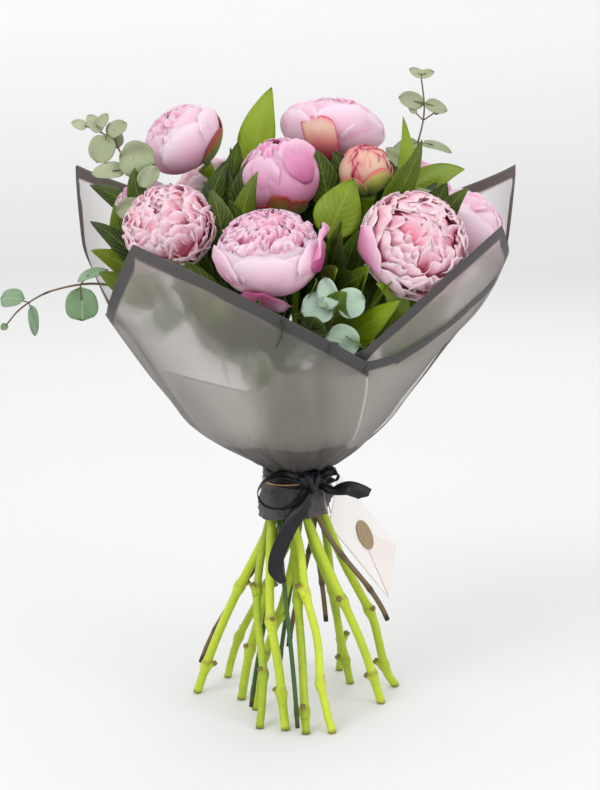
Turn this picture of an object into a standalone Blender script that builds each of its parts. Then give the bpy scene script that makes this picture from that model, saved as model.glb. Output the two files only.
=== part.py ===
"""Hand-tied bunch of peonies, standing on the cut ends of its stems.

Run with: blender --background --python part.py
Metres, +Z up. The bunch's own axis is vertical. Every sub-part is one object with its own
material; the whole bunch is moved at the end so that it stands centred on the origin.
"""
import math
from dataclasses import dataclass

import bmesh
import bpy
from mathutils import Vector

# ---------------------------------------------------------------- driving dimensions
WAIST_Z = 0.205
SKIRT_Z = 0.170
PEONY_STEM = 0.0080
SPRIG_STEM = 0.0046
FOLIAGE_STEM = 0.0040
GAP = 0.0003
BUNDLE_RADIUS = 0.0214
STRAIGHT_BELOW = 0.036
STRAIGHT_ABOVE = 0.036
CALYX_FLARE = 2.1
TWINE_THICKNESS = 0.0020
FILM_THICKNESS = 0.0006
RIBBON_WIDTH = 0.013
RIBBON_THICKNESS = 0.0008
RIBBON_PINCH = 0.45
STRING_THICKNESS = 0.0010
LEAF_THICKNESS = 0.0010
STALK_THICKNESS = 0.0018
WRAP_STEP = 10


@dataclass(frozen=True)
class Ring:
    """A ring of stems in the tied waist: its radius there and how strongly it spirals."""
    radius: float
    slope: float


OUTER = Ring(0.0174, 0.43)
INNER = Ring(0.0087, 0.25)
MIDDLE = Ring(0.0, 0.0)


@dataclass(frozen=True)
class Bloom:
    """A flower head: centre, the way it faces, width, height, and how lobed it is."""
    centre: tuple
    facing: tuple
    width: float
    height: float
    lobes: int
    ruffle: float

    def axis(self):
        """The unit vector from the calyx to the top of the bloom."""
        return Vector(self.facing).normalized()

    def base(self):
        """The lowest point of the bloom, where the calyx carries it."""
        return Vector(self.centre) - self.axis() * self.height / 2


@dataclass(frozen=True)
class Stem:
    """A stem: its place in the waist, its foot on or above the surface, and its upper route."""
    ring: Ring
    slot: float
    foot: tuple
    route: tuple = ()


BLOOMS = {
    "bloom_ball": Bloom((-0.097, 0.030, 0.489), (-0.60, -0.20, 0.75), 0.071, 0.055, 5, 0.03),
    "bloom_open_left": Bloom((-0.1045, -0.050, 0.422), (-0.25, -0.75, 0.60), 0.077, 0.062, 7, 0.05),
    "bloom_cup": Bloom((-0.023, -0.090, 0.4045), (-0.05, -0.35, 0.93), 0.086, 0.068, 5, 0.03),
    "bloom_opening": Bloom((-0.013, 0.000, 0.459), (-0.15, -0.15, 0.97), 0.067, 0.066, 5, 0.03),
    "bloom_pale_top": Bloom((0.0305, 0.070, 0.494), (0.10, 0.35, 0.93), 0.091, 0.060, 5, 0.03),
    "bloom_bud": Bloom((0.0565, 0.010, 0.4656), (-0.10, -0.25, 0.96), 0.046, 0.043, 5, 0.02),
    "bloom_open_right": Bloom((0.095, -0.070, 0.411), (0.35, -0.75, 0.55), 0.091, 0.070, 7, 0.05),
    "bloom_right_back": Bloom((0.1410, 0.010, 0.417), (0.60, -0.10, 0.80), 0.072, 0.060, 5, 0.03),
    "bloom_left_side": Bloom((-0.130, 0.030, 0.430), (-0.70, 0.05, 0.70), 0.054, 0.050, 5, 0.03),
    "bloom_back_left": Bloom((-0.075, 0.105, 0.435), (-0.35, 0.55, 0.75), 0.074, 0.060, 7, 0.04),
    "bloom_back_mid": Bloom((0.030, 0.125, 0.425), (0.10, 0.70, 0.70), 0.074, 0.060, 7, 0.04),
    "bloom_back_right": Bloom((0.102, 0.093, 0.436), (0.50, 0.45, 0.75), 0.074, 0.060, 7, 0.04),
}

# Where a bloom's stem stands: the ring, its place in the ring, then the foot's direction and
# distance from the axis. Slots and directions are degrees.
PEONY_STEMS = {
    "bloom_right_back": Stem(OUTER, 10, (168, 0.0920, 0.0)),
    "bloom_back_right": Stem(OUTER, 40, (245, 0.0760, 0.0)),
    "bloom_back_mid": Stem(OUTER, 70, (262, 0.0740, 0.0)),
    "bloom_back_left": Stem(OUTER, 130, (290, 0.0850, 0.0)),
    "bloom_left_side": Stem(OUTER, 160, (354, 0.0740, 0.0)),
    "bloom_open_left": Stem(OUTER, 220, (22, 0.0950, 0.0)),
    "bloom_cup": Stem(OUTER, 250, (64, 0.0880, 0.0)),
    "bloom_open_right": Stem(OUTER, 310, (137, 0.0880, 0.0)),
    "bloom_bud": Stem(INNER, 350, (178, 0.0500, 0.0)),
    "bloom_pale_top": Stem(INNER, 110, (275, 0.0820, 0.0)),
    "bloom_ball": Stem(INNER, 170, (42, 0.0640, 0.0)),
    "bloom_opening": Stem(MIDDLE, 0, (213, 0.0440, 0.0)),
}

SPRIG_STEMS = {
    "sprig_top_left": Stem(OUTER, 190, (2, 0.0790, 0.073), (
        (-0.072, 0.000, 0.340), (-0.125, -0.010, 0.435), (-0.143, -0.002, 0.472),
        (-0.156, 0.000, 0.493), (-0.175, 0.000, 0.503))),
    "sprig_top_right": Stem(OUTER, 340, (157, 0.0950, 0.022), (
        (0.052, -0.006, 0.362), (0.083, 0.030, 0.440), (0.099, 0.037, 0.476),
        (0.108, 0.040, 0.512), (0.105, 0.040, 0.545))),
    "sprig_trailing": Stem(INNER, 230, (58, 0.0480, 0.060), (
        (-0.060, -0.019, 0.322), (-0.120, -0.028, 0.362), (-0.165, -0.030, 0.375),
        (-0.205, -0.030, 0.369), (-0.230, -0.030, 0.355), (-0.242, -0.030, 0.342))),
    "sprig_front": Stem(OUTER, 280, (98, 0.0600, 0.030), (
        (0.016, -0.060, 0.300), (0.020, -0.090, 0.332), (0.026, -0.104, 0.352),
        (0.030, -0.110, 0.368))),
}

FOLIAGE_STEMS = {
    "foliage_back": Stem(OUTER, 100, (270, 0.0900, 0.008), (
        (-0.018, 0.050, 0.330), (-0.030, 0.054, 0.400), (-0.035, 0.052, 0.450))),
    "foliage_front": Stem(INNER, 290, (112, 0.0450, 0.012), (
        (0.014, -0.026, 0.330), (0.020, -0.038, 0.380), (0.022, -0.042, 0.405))),
    "foliage_right": Stem(INNER, 50, (228, 0.0600, 0.010), (
        (0.044, 0.024, 0.340), (0.072, 0.042, 0.410), (0.083, 0.045, 0.445))),
}


@dataclass(frozen=True)
class Leaf:
    """A leaf: its stem, the height where it starts (None at the stem's end), bend, tip and width."""
    stem: str
    height: float
    bend: tuple
    tip: tuple
    width: float


LEAVES = {
    "leaf_top": Leaf("foliage_back", None, (-0.040, 0.044, 0.480), (-0.022, 0.050, 0.534), 0.026),
    "leaf_left": Leaf("stem_bloom_opening", 0.370, (-0.066, -0.040, 0.408), (-0.032, -0.052, 0.470), 0.022),
    "leaf_centre": Leaf("foliage_front", None, (0.029, -0.050, 0.430), (0.046, -0.050, 0.464), 0.034),
    "leaf_shade": Leaf("foliage_front", 0.350, (0.024, -0.075, 0.372), (0.052, -0.100, 0.392), 0.034),
    "leaf_right_tall": Leaf("stem_bloom_bud", 0.400, (0.104, 0.000, 0.425), (0.088, 0.000, 0.511), 0.018),
    "leaf_right_bent": Leaf("stem_bloom_bud", 0.425, (0.088, -0.022, 0.440), (0.102, -0.030, 0.494), 0.018),
    "leaf_right_back": Leaf("foliage_right", 0.435, (0.110, 0.046, 0.462), (0.143, 0.034, 0.465), 0.022),
    "leaf_right_low": Leaf(
        "stem_bloom_right_back", 0.372, (0.106, -0.032, 0.426), (0.140, -0.044, 0.456), 0.012),
    "leaf_low_right": Leaf("sprig_front", 0.305, (0.040, -0.084, 0.340), (0.081, -0.114, 0.373), 0.022),
    "leaf_low_left": Leaf("sprig_trailing", 0.340, (-0.135, -0.022, 0.392), (-0.169, -0.046, 0.405), 0.018),
}


# ---------------------------------------------------------------- scene and materials
def clear_scene():
    """Remove every object of the open scene."""
    for old in list(bpy.data.objects):
        bpy.data.objects.remove(old, do_unlink=True)


def make_collection(name):
    """Add a collection to the scene."""
    collection = bpy.data.collections.new(name)
    bpy.context.scene.collection.children.link(collection)
    return collection


def make_material(name, colour, roughness=0.5, metallic=0.0):
    """Make a Principled material from a linear RGB colour."""
    material = bpy.data.materials.new(name)
    material.use_nodes = True
    shader = material.node_tree.nodes["Principled BSDF"]
    shader.inputs["Base Color"].default_value = (*colour, 1.0)
    shader.inputs["Roughness"].default_value = roughness
    shader.inputs["Metallic"].default_value = metallic
    return material


def place(obj, name, colour, roughness=0.5, metallic=0.0):
    """Name an object, give it its own material and keep it in the bunch's collection."""
    obj.name = name
    obj.data.materials.clear()
    obj.data.materials.append(make_material(name, colour, roughness, metallic))
    for holder in list(obj.users_collection):
        holder.objects.unlink(obj)
    bpy.data.collections["bunch_of_peonies"].objects.link(obj)
    return obj


def apply_modifiers(obj):
    """Turn an object, a curve too, into the mesh that its modifiers make of it."""
    bpy.context.view_layer.update()
    evaluated = obj.evaluated_get(bpy.context.evaluated_depsgraph_get())
    mesh = bpy.data.meshes.new_from_object(evaluated)
    solid = bpy.data.objects.new(obj.name, mesh)
    solid.matrix_world = obj.matrix_world
    bpy.context.scene.collection.objects.link(solid)
    bpy.data.objects.remove(obj, do_unlink=True)
    shape = bmesh.new()
    shape.from_mesh(mesh)
    bmesh.ops.remove_doubles(shape, verts=shape.verts, dist=0.00001)
    bmesh.ops.recalc_face_normals(shape, faces=shape.faces)
    if shape.calc_volume(signed=True) < 0:
        bmesh.ops.reverse_faces(shape, faces=shape.faces)
    shape.to_mesh(mesh)
    shape.free()
    return solid


# ---------------------------------------------------------------- curves
def hermite(start, start_run, end, end_run, t):
    """A point of the cubic that leaves start along start_run and meets end along end_run."""
    return (start * (2 * t**3 - 3 * t**2 + 1) + start_run * (t**3 - 2 * t**2 + t)
            + end * (3 * t**2 - 2 * t**3) + end_run * (t**3 - t**2))


def smooth_route(points, first_run, last_run, steps):
    """Sample a smooth curve through the points, with set directions at both ends."""
    runs = [first_run]
    runs += [(after - before) / 2 for before, after in zip(points, points[2:])]
    runs += [last_run]
    route = []
    for i in range(len(points) - 1):
        for k in range(steps):
            route.append(hermite(points[i], runs[i], points[i + 1], runs[i + 1], k / steps))
    return route + [points[-1]]


def tube(route, thickness, scales=None):
    """A solid tube along a route; scales multiply its thickness point by point."""
    curve = bpy.data.curves.new("tube", "CURVE")
    curve.dimensions = "3D"
    curve.bevel_depth = thickness / 2
    curve.bevel_resolution = 2
    curve.use_fill_caps = True
    spline = curve.splines.new("POLY")
    spline.points.add(len(route) - 1)
    for i, point in enumerate(route):
        spline.points[i].co = (*point, 1.0)
        spline.points[i].radius = scales[i] if scales else 1.0
    obj = bpy.data.objects.new("tube", curve)
    bpy.context.scene.collection.objects.link(obj)
    return apply_modifiers(obj)


# ---------------------------------------------------------------- stems
def ring_point(stem, height, reach):
    """A point of a stem's straight stretch, where the stems lean past each other in the tie."""
    angle = math.radians(stem.slot + 90)
    outward = Vector((math.cos(angle), math.sin(angle), 0))
    along = Vector((-math.sin(angle), math.cos(angle), 0))
    rise = height - WAIST_Z
    return outward * (stem.ring.radius + reach) - along * stem.ring.slope * rise + Vector((0, 0, height))


def stem_route(stem, thickness, top=None, facing=None):
    """The centre line of a stem, from its foot through the tie to its top."""
    slack = (PEONY_STEM - thickness) / 2
    reach = slack if stem.ring is OUTER else -slack
    low = ring_point(stem, WAIST_Z - STRAIGHT_BELOW, reach)
    high = ring_point(stem, WAIST_Z + STRAIGHT_ABOVE, reach)
    lean = (high - low).normalized()
    azimuth = math.radians(stem.foot[0])
    foot = Vector((math.cos(azimuth) * stem.foot[1], math.sin(azimuth) * stem.foot[1], stem.foot[2]))
    drop = (foot - low).length
    upright = ((low - foot).normalized() + Vector((0, 0, 0.6))).normalized()
    route = [hermite(foot, upright * drop, low, lean * drop, k / 5) for k in range(5)]
    route.append(low)
    if facing:
        above = [high, top]
        last_run = facing * (top - high).length
    else:
        above = [high] + [Vector(point) for point in stem.route]
        last_run = above[-1] - above[-2]
    rise = (above[1] - above[0]).length
    steps = 6 if facing else 2
    return route + smooth_route(above, lean * rise, last_run, steps)


def cut_flat(obj):
    """Cut a stem's foot flat where the bunch stands."""
    shape = bmesh.new()
    shape.from_mesh(obj.data)
    geometry = shape.verts[:] + shape.edges[:] + shape.faces[:]
    cut = bmesh.ops.bisect_plane(shape, geom=geometry, plane_co=(0, 0, 0), plane_no=(0, 0, -1),
                                 clear_outer=True)
    rim = [part for part in cut["geom_cut"] if isinstance(part, bmesh.types.BMEdge)]
    bmesh.ops.holes_fill(shape, edges=rim)
    bmesh.ops.recalc_face_normals(shape, faces=shape.faces)
    shape.to_mesh(obj.data)
    shape.free()


def make_peony_stem(name, stem, bloom):
    """A peony stem: a green tube that flares into the calyx cup under its bloom."""
    top = bloom.base() - bloom.axis() * GAP
    route = stem_route(stem, PEONY_STEM, top, bloom.axis())
    below = route[0] + (route[0] - route[1]).normalized() * PEONY_STEM
    route = [below] + route
    route.insert(-1, route[-1] - bloom.axis() * PEONY_STEM)
    scales = [1.0] * (len(route) - 1) + [CALYX_FLARE]
    obj = tube(route, PEONY_STEM, scales)
    cut_flat(obj)
    return place(obj, name, (0.33, 0.53, 0.04), 0.45)


def make_foliage_stem(name, stem):
    """A thin dark stem that bears leaves."""
    return place(tube(stem_route(stem, FOLIAGE_STEM), FOLIAGE_STEM), name, (0.05, 0.14, 0.02), 0.5)


def join_solid(target, extra):
    """Unite one closed solid with another."""
    modifier = target.modifiers.new("join", "BOOLEAN")
    modifier.operation = "UNION"
    modifier.object = extra
    solid = apply_modifiers(target)
    bpy.data.objects.remove(extra, do_unlink=True)
    return solid


def round_leaf(centre, facing, width):
    """One round eucalyptus leaf, a thin disc."""
    bpy.ops.mesh.primitive_cylinder_add(vertices=10, radius=width / 2, depth=LEAF_THICKNESS)
    leaf = bpy.context.object
    leaf.rotation_euler = Vector(facing).to_track_quat("Z", "Y").to_euler()
    leaf.location = centre
    return leaf


@dataclass(frozen=True)
class RoundLeaf:
    """A round leaf of a sprig: its place along the sprig's route, offset, facing and width."""
    index: int
    offset: tuple
    facing: tuple
    width: float


ROUND_LEAVES = {
    "sprig_top_left": (
        RoundLeaf(-6, (-0.012, -0.004, 0.004), (0.2, -0.9, 0.5), 0.026),
        RoundLeaf(-4, (0.010, -0.004, 0.004), (-0.3, -0.9, 0.4), 0.022),
        RoundLeaf(-4, (-0.009, 0.003, 0.001), (0.4, -0.8, 0.6), 0.018),
        RoundLeaf(-3, (0.005, -0.003, 0.006), (0.1, -0.9, 0.4), 0.014),
        RoundLeaf(-1, (-0.005, -0.001, 0.004), (0.2, -0.9, 0.3), 0.011),
    ),
    "sprig_top_right": (
        RoundLeaf(-5, (0.011, -0.003, 0.003), (-0.2, -0.9, 0.5), 0.022),
        RoundLeaf(-5, (-0.008, 0.003, 0.002), (0.3, -0.9, 0.5), 0.018),
        RoundLeaf(-3, (0.007, -0.002, 0.003), (0.0, -0.9, 0.4), 0.014),
        RoundLeaf(-2, (-0.005, 0.002, 0.002), (0.2, -0.9, 0.4), 0.010),
        RoundLeaf(-1, (0.003, -0.001, 0.005), (0.1, -0.9, 0.3), 0.009),
    ),
    "sprig_trailing": (
        RoundLeaf(-6, (0.003, -0.006, 0.011), (0.1, -0.8, 0.6), 0.024),
        RoundLeaf(-5, (0.005, -0.003, -0.012), (0.1, -0.9, 0.3), 0.026),
        RoundLeaf(-3, (0.000, 0.002, 0.011), (0.1, -0.8, 0.5), 0.022),
        RoundLeaf(-2, (-0.010, -0.002, 0.003), (0.3, -0.9, 0.3), 0.020),
        RoundLeaf(-1, (0.007, -0.002, -0.006), (0.1, -0.9, 0.3), 0.020),
    ),
    "sprig_front": (
        RoundLeaf(-1, (-0.008, -0.004, 0.007), (-0.1, -0.9, 0.3), 0.026),
        RoundLeaf(-1, (0.011, -0.001, 0.003), (0.1, -0.9, 0.4), 0.024),
        RoundLeaf(-3, (0.011, -0.011, 0.000), (0.1, -0.9, 0.2), 0.028),
        RoundLeaf(-3, (-0.015, -0.008, -0.004), (-0.1, -0.8, 0.5), 0.022),
    ),
}


def make_sprig(name, stem):
    """A eucalyptus sprig: a thin stem with round leaves, joined into one solid."""
    route = stem_route(stem, SPRIG_STEM)
    scales = [1.0] * 8 + [0.85] * (len(route) - 8)
    sprig = tube(route, SPRIG_STEM, scales)
    for leaf in ROUND_LEAVES[name]:
        at = route[leaf.index]
        offset = Vector(leaf.offset)
        middle = at + offset
        sprig = join_solid(sprig, tube([at - offset * 0.1, middle + offset * 0.1], STALK_THICKNESS))
        sprig = join_solid(sprig, round_leaf(middle, leaf.facing, leaf.width))
    return place(sprig, name, (0.28, 0.40, 0.27), 0.6)


# ---------------------------------------------------------------- blooms
def make_bloom(name, bloom):
    """A bloom's solid: a lobed ball that is set on its calyx."""
    bpy.ops.mesh.primitive_uv_sphere_add(segments=16, ring_count=9, radius=0.5)
    obj = bpy.context.object
    for vertex in obj.data.vertices:
        around = math.atan2(vertex.co.y, vertex.co.x)
        level = math.hypot(vertex.co.x, vertex.co.y) * 2
        swell = 1 - bloom.ruffle * (0.5 - 0.5 * math.cos(bloom.lobes * around)) * level
        vertex.co = Vector((vertex.co.x * bloom.width * swell, vertex.co.y * bloom.width * swell,
                            vertex.co.z * bloom.height))
    obj.rotation_euler = bloom.axis().to_track_quat("Z", "Y").to_euler()
    obj.location = bloom.centre
    return place(obj, name, (0.86, 0.42, 0.60), 0.55)


@dataclass(frozen=True)
class GuardPetal:
    """A guard petal: its bloom, where it lies on it in degrees, its size and its lift."""
    bloom: str
    around: float
    level: float
    span: float
    rise: float


GUARD_PETALS = {
    "petal_cup_hanging": GuardPetal("bloom_cup", 262, -38, 44, 34),
    "petal_cup_right": GuardPetal("bloom_cup", 350, 18, 50, 44),
    "petal_opening": GuardPetal("bloom_opening", 350, 30, 46, 50),
    "petal_open_right": GuardPetal("bloom_open_right", 180, 5, 52, 46),
}


def make_guard_petal(name, petal):
    """A cupped petal that lies just clear of its bloom."""
    bloom = BLOOMS[petal.bloom]
    bpy.ops.mesh.primitive_grid_add(x_subdivisions=5, y_subdivisions=5, size=1.0)
    obj = bpy.context.object
    tilt = bloom.axis().to_track_quat("Z", "Y")
    for vertex in obj.data.vertices:
        taper = 1 - 1.4 * vertex.co.x**2 * (1 if vertex.co.y > 0 else 0.4)
        around = math.radians(petal.around + vertex.co.x * petal.span)
        level = math.radians(petal.level + vertex.co.y * petal.rise * taper)
        swell = 1.012 + 0.10 * max(0.0, vertex.co.y + 0.1)
        local = Vector((math.cos(around) * math.cos(level) * bloom.width / 2,
                        math.sin(around) * math.cos(level) * bloom.width / 2,
                        math.sin(level) * bloom.height / 2)) * swell
        vertex.co = Vector(bloom.centre) + tilt @ local
    solidify = obj.modifiers.new("thickness", "SOLIDIFY")
    solidify.thickness = 0.0008
    solidify.offset = 1.0
    solid = apply_modifiers(obj)
    return place(solid, name, (0.85, 0.36, 0.58), 0.55)


# ---------------------------------------------------------------- leaves
def route_at(route, height):
    """The point and direction where a route climbs through a height."""
    for before, after in zip(route, route[1:]):
        if before.z <= height < after.z:
            part = (height - before.z) / (after.z - before.z)
            return before.lerp(after, part), (after - before).normalized()
    raise ValueError(f"no stem at height {height}")


def make_leaf(name, leaf, route, thickness):
    """A lance-shaped leaf whose stalk starts just clear of the stem that bears it."""
    bend = Vector(leaf.bend)
    tip = Vector(leaf.tip)
    if leaf.height is None:
        joint = route[-1]
        start = joint + (joint - route[-2]).normalized() * LEAF_THICKNESS
    else:
        joint, climb = route_at(route, leaf.height)
        away = bend - joint
        away = (away - climb * away.dot(climb)).normalized()
        start = joint + away * (thickness / 2 + GAP * 3)
    bpy.ops.mesh.primitive_grid_add(x_subdivisions=2, y_subdivisions=8, size=1.0)
    obj = bpy.context.object
    for vertex in obj.data.vertices:
        t = vertex.co.y + 0.5
        along = (start * (1 - t)**2 + bend * 2 * t * (1 - t) + tip * t**2)
        run = ((bend - start) * (1 - t) + (tip - bend) * t).normalized()
        side = run.cross(Vector((-joint.x, -joint.y - 0.4, 0.5))).normalized()
        blade = math.sin(math.pi * max(0.0, (t - 0.2) / 0.8)**0.8)
        half = (0.10 * (1 - t) + blade) * leaf.width / 2
        fold = run.cross(side) * abs(vertex.co.x) * half * 0.5
        vertex.co = along + side * vertex.co.x * 2 * half + fold
    solidify = obj.modifiers.new("thickness", "SOLIDIFY")
    solidify.thickness = LEAF_THICKNESS
    solidify.offset = 0.0
    return place(apply_modifiers(obj), name, (0.11, 0.24, 0.04), 0.35)


# ---------------------------------------------------------------- film wrap
WRAP_PROFILE = ((0.170, 0.0296), (0.182, 0.0272), (0.196, 0.0249), (0.206, 0.0245), (0.217, 0.0256),
                (0.228, 0.0400), (0.242, 0.0660), (0.258, 0.0900), (0.300, 0.1240), (0.350, 0.1580),
                (0.400, 0.1790), (0.470, 0.1920))
FRONT_FLATTENING = 0.84
BACK_FLATTENING = 0.95

# The top edge of each sheet: heights at directions in degrees, joined by straight runs.
BACK_EDGE = ((-10, 0.385), (0, 0.402), (10, 0.466), (40, 0.430), (90, 0.405), (140, 0.425),
             (170, 0.466), (180, 0.405), (190, 0.362), (200, 0.345))
RIGHT_EDGE = ((-120, 0.285), (-90, 0.300), (-60, 0.322), (-40, 0.362), (-10, 0.420), (0, 0.402),
              (10, 0.375), (30, 0.350))
LEFT_EDGE = ((160, 0.330), (190, 0.362), (220, 0.410), (250, 0.372), (290, 0.324), (300, 0.300))


def wrap_radius(height):
    """The wrap's radius at a height, before it is flattened front and back."""
    for (low, near), (high, far) in zip(WRAP_PROFILE, WRAP_PROFILE[1:]):
        if height <= high:
            return near + (far - near) * (height - low) / (high - low)
    return WRAP_PROFILE[-1][1]


def edge_height(edge, azimuth):
    """The height of a sheet's top edge in a direction."""
    for (before, low), (after, high) in zip(edge, edge[1:]):
        if azimuth <= after:
            return low + (high - low) * (azimuth - before) / (after - before)
    return edge[-1][1]


def wrap_point(azimuth, height, layer):
    """A point of the wrap; outer layers stand off along the surface's own slope."""
    step = 0.001
    radius = wrap_radius(height)
    slope = (wrap_radius(height + step) - wrap_radius(height - step)) / (2 * step)
    steepness = math.hypot(1, slope)
    opening = min(1.0, max(0.0, (height - 0.215) / 0.10))
    stand_off = layer * (FILM_THICKNESS + GAP) + layer * 0.0026 * min(1.0, opening * 2.5)
    angle = math.radians(azimuth)
    flattening = FRONT_FLATTENING if math.sin(angle) < 0 else BACK_FLATTENING
    depth = 1 - (1 - flattening) * opening * abs(math.sin(angle))
    reach = radius * depth + stand_off / steepness
    return Vector((math.cos(angle) * reach, math.sin(angle) * reach, height - stand_off * slope / steepness))


def make_wrap_sheet(name, edge, layer, colour):
    """One sheet of film around the bunch, gathered at the waist, with a skirt below the tie."""
    first, last = edge[0][0], edge[-1][0]
    columns = round((last - first) / WRAP_STEP)
    fixed = [height for height, _ in WRAP_PROFILE if height < 0.26]
    upper = 5
    rows = len(fixed) - 1 + upper
    bpy.ops.mesh.primitive_grid_add(x_subdivisions=columns, y_subdivisions=rows, size=1.0)
    obj = bpy.context.object
    for vertex in obj.data.vertices:
        azimuth = first + (vertex.co.x + 0.5) * (last - first)
        row = round((vertex.co.y + 0.5) * rows)
        if row < len(fixed):
            height = fixed[row]
        else:
            part = (row - len(fixed) + 1) / upper
            height = fixed[-1] + (edge_height(edge, azimuth) - fixed[-1]) * part
        vertex.co = wrap_point(azimuth, height, layer)
    solidify = obj.modifiers.new("thickness", "SOLIDIFY")
    solidify.thickness = FILM_THICKNESS
    solidify.offset = 1.0
    return place(apply_modifiers(obj), name, colour, 0.35)


# ---------------------------------------------------------------- tie, ribbon and envelope
TWINE_RADIUS = BUNDLE_RADIUS + GAP + TWINE_THICKNESS / 2
BAND_RADIUS = 0.0245 + 2 * (FILM_THICKNESS + GAP) + FILM_THICKNESS + GAP
BAND_Z = 0.2065
KNOT_AZIMUTH = 290


def make_twine():
    """The ring of twine that holds the stems under the wrap."""
    bpy.ops.mesh.primitive_torus_add(major_radius=TWINE_RADIUS, minor_radius=TWINE_THICKNESS / 2,
                                     major_segments=36, minor_segments=8, location=(0, 0, BAND_Z))
    return place(bpy.context.object, "twine", (0.42, 0.30, 0.16), 0.8)


def make_ribbon_band():
    """The ribbon's turn around the waist: a short pipe."""
    bpy.ops.mesh.primitive_cylinder_add(vertices=36, radius=BAND_RADIUS + 0.0006, depth=RIBBON_WIDTH,
                                        end_fill_type="NOTHING", location=(0, 0, BAND_Z + 0.0015))
    obj = bpy.context.object
    solidify = obj.modifiers.new("thickness", "SOLIDIFY")
    solidify.thickness = RIBBON_THICKNESS
    solidify.offset = 1.0
    return place(apply_modifiers(obj), "ribbon_band", (0.010, 0.010, 0.014), 0.3)


def make_knot():
    """The ribbon's knot, a small cushion in front of the band."""
    angle = math.radians(KNOT_AZIMUTH)
    out = BAND_RADIUS + 0.0006 + RIBBON_THICKNESS + GAP + 0.0045
    bpy.ops.mesh.primitive_uv_sphere_add(segments=12, ring_count=8, radius=1.0)
    obj = bpy.context.object
    for vertex in obj.data.vertices:
        vertex.co = Vector((vertex.co.x * 0.0075, vertex.co.y * 0.0045, vertex.co.z * 0.0070))
    obj.rotation_euler = (0, 0, angle + math.pi / 2)
    obj.location = (math.cos(angle) * out, math.sin(angle) * out, BAND_Z)
    return place(obj, "ribbon_knot", (0.010, 0.010, 0.014), 0.3)


def make_strip(name, route, sides):
    """A flat strip of ribbon that starts pinched; its width direction is given at each point."""
    points = [Vector(point) for point in route]
    path = smooth_route(points, points[1] - points[0], points[-1] - points[-2], 2)
    sides = [Vector(side).normalized() for side in sides]
    bpy.ops.mesh.primitive_grid_add(x_subdivisions=1, y_subdivisions=len(path) - 1, size=1.0)
    obj = bpy.context.object
    for vertex in obj.data.vertices:
        i = round((vertex.co.y + 0.5) * (len(path) - 1))
        side = (sides[i // 2] + sides[(i + 1) // 2]).normalized()
        spread = min(1.0, RIBBON_PINCH + (1 - RIBBON_PINCH) * i / 2)
        vertex.co = path[i] + side * vertex.co.x * RIBBON_WIDTH * spread
    solidify = obj.modifiers.new("thickness", "SOLIDIFY")
    solidify.thickness = RIBBON_THICKNESS
    solidify.offset = 0.0
    return place(apply_modifiers(obj), name, (0.010, 0.010, 0.014), 0.3)


# Each strip: the points of its route, and its width direction at each of them.
RIBBON_STRIPS = {
    "ribbon_loop_left": (
        ((0.0036, -0.0345, 0.2070), (-0.012, -0.0370, 0.2120), (-0.029, -0.0350, 0.2040),
         (-0.030, -0.0340, 0.1870), (-0.012, -0.0370, 0.1800)),
        ((0.1, 0.5, 0.9), (0.1, 0.9, 0.4), (0.2, 1.0, 0.0), (0.1, 0.9, -0.4), (0.0, 0.6, -0.8))),
    "ribbon_loop_right": (
        ((0.0188, -0.0291, 0.2099), (0.0250, -0.0340, 0.2135), (0.0335, -0.0320, 0.2150)),
        ((0.0, 0.1, 1.0), (-0.2, 0.1, 1.0), (-0.4, 0.1, 1.0))),
    "ribbon_tail_right": (
        ((0.0188, -0.0296, 0.2029), (0.0300, -0.0350, 0.1985), (0.0450, -0.0330, 0.1990),
         (0.0610, -0.0290, 0.1940)),
        ((0.0, 0.2, 1.0), (0.0, 0.4, 1.0), (0.1, 0.3, 1.0), (0.3, 0.2, 1.0))),
    "ribbon_tail_long": (
        ((0.0110, -0.0325, 0.1987), (0.0030, -0.0380, 0.1860), (-0.0080, -0.0440, 0.1680),
         (-0.0180, -0.0495, 0.1470), (-0.0170, -0.0510, 0.1290)),
        ((1.0, 0.1, 0.3), (1.0, 0.1, 0.5), (1.0, 0.1, 0.5), (1.0, 0.1, 0.1), (1.0, 0.0, -0.3))),
}

ENVELOPE_LONG = 0.100
ENVELOPE_SHORT = 0.070
ENVELOPE_THICKNESS = 0.0012
ENVELOPE_CENTRE = Vector((0.060, 0.082, 0.128))
ENVELOPE_DOWN = Vector((0.55, 0.32, -0.77)).normalized()
ENVELOPE_ACROSS = Vector((0.14, 0.87, 0.46)).normalized()
SEAL_WIDTH = 0.028


def envelope_axes():
    """The envelope's long direction, its short direction and the way it faces."""
    down = ENVELOPE_DOWN
    face = down.cross(ENVELOPE_ACROSS).normalized()
    return down, face.cross(down), face


def make_envelope():
    """The gift envelope that hangs behind the stems: a thin card."""
    down, across, face = envelope_axes()
    bpy.ops.mesh.primitive_cube_add(size=1.0)
    obj = bpy.context.object
    for vertex in obj.data.vertices:
        corner = vertex.co.copy()
        vertex.co = (ENVELOPE_CENTRE + down * corner.x * ENVELOPE_LONG
                     + across * corner.y * ENVELOPE_SHORT + face * corner.z * ENVELOPE_THICKNESS)
    return place(obj, "envelope", (0.90, 0.86, 0.83), 0.7)


def make_seal():
    """The plain round seal on the envelope's flap."""
    _, _, face = envelope_axes()
    bpy.ops.mesh.primitive_cylinder_add(vertices=24, radius=SEAL_WIDTH / 2, depth=0.0006)
    obj = bpy.context.object
    obj.rotation_euler = face.to_track_quat("Z", "Y").to_euler()
    obj.location = ENVELOPE_CENTRE + face * (ENVELOPE_THICKNESS / 2 + GAP + 0.0003)
    return place(obj, "seal", (0.33, 0.21, 0.10), 0.35, 0.6)


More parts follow.
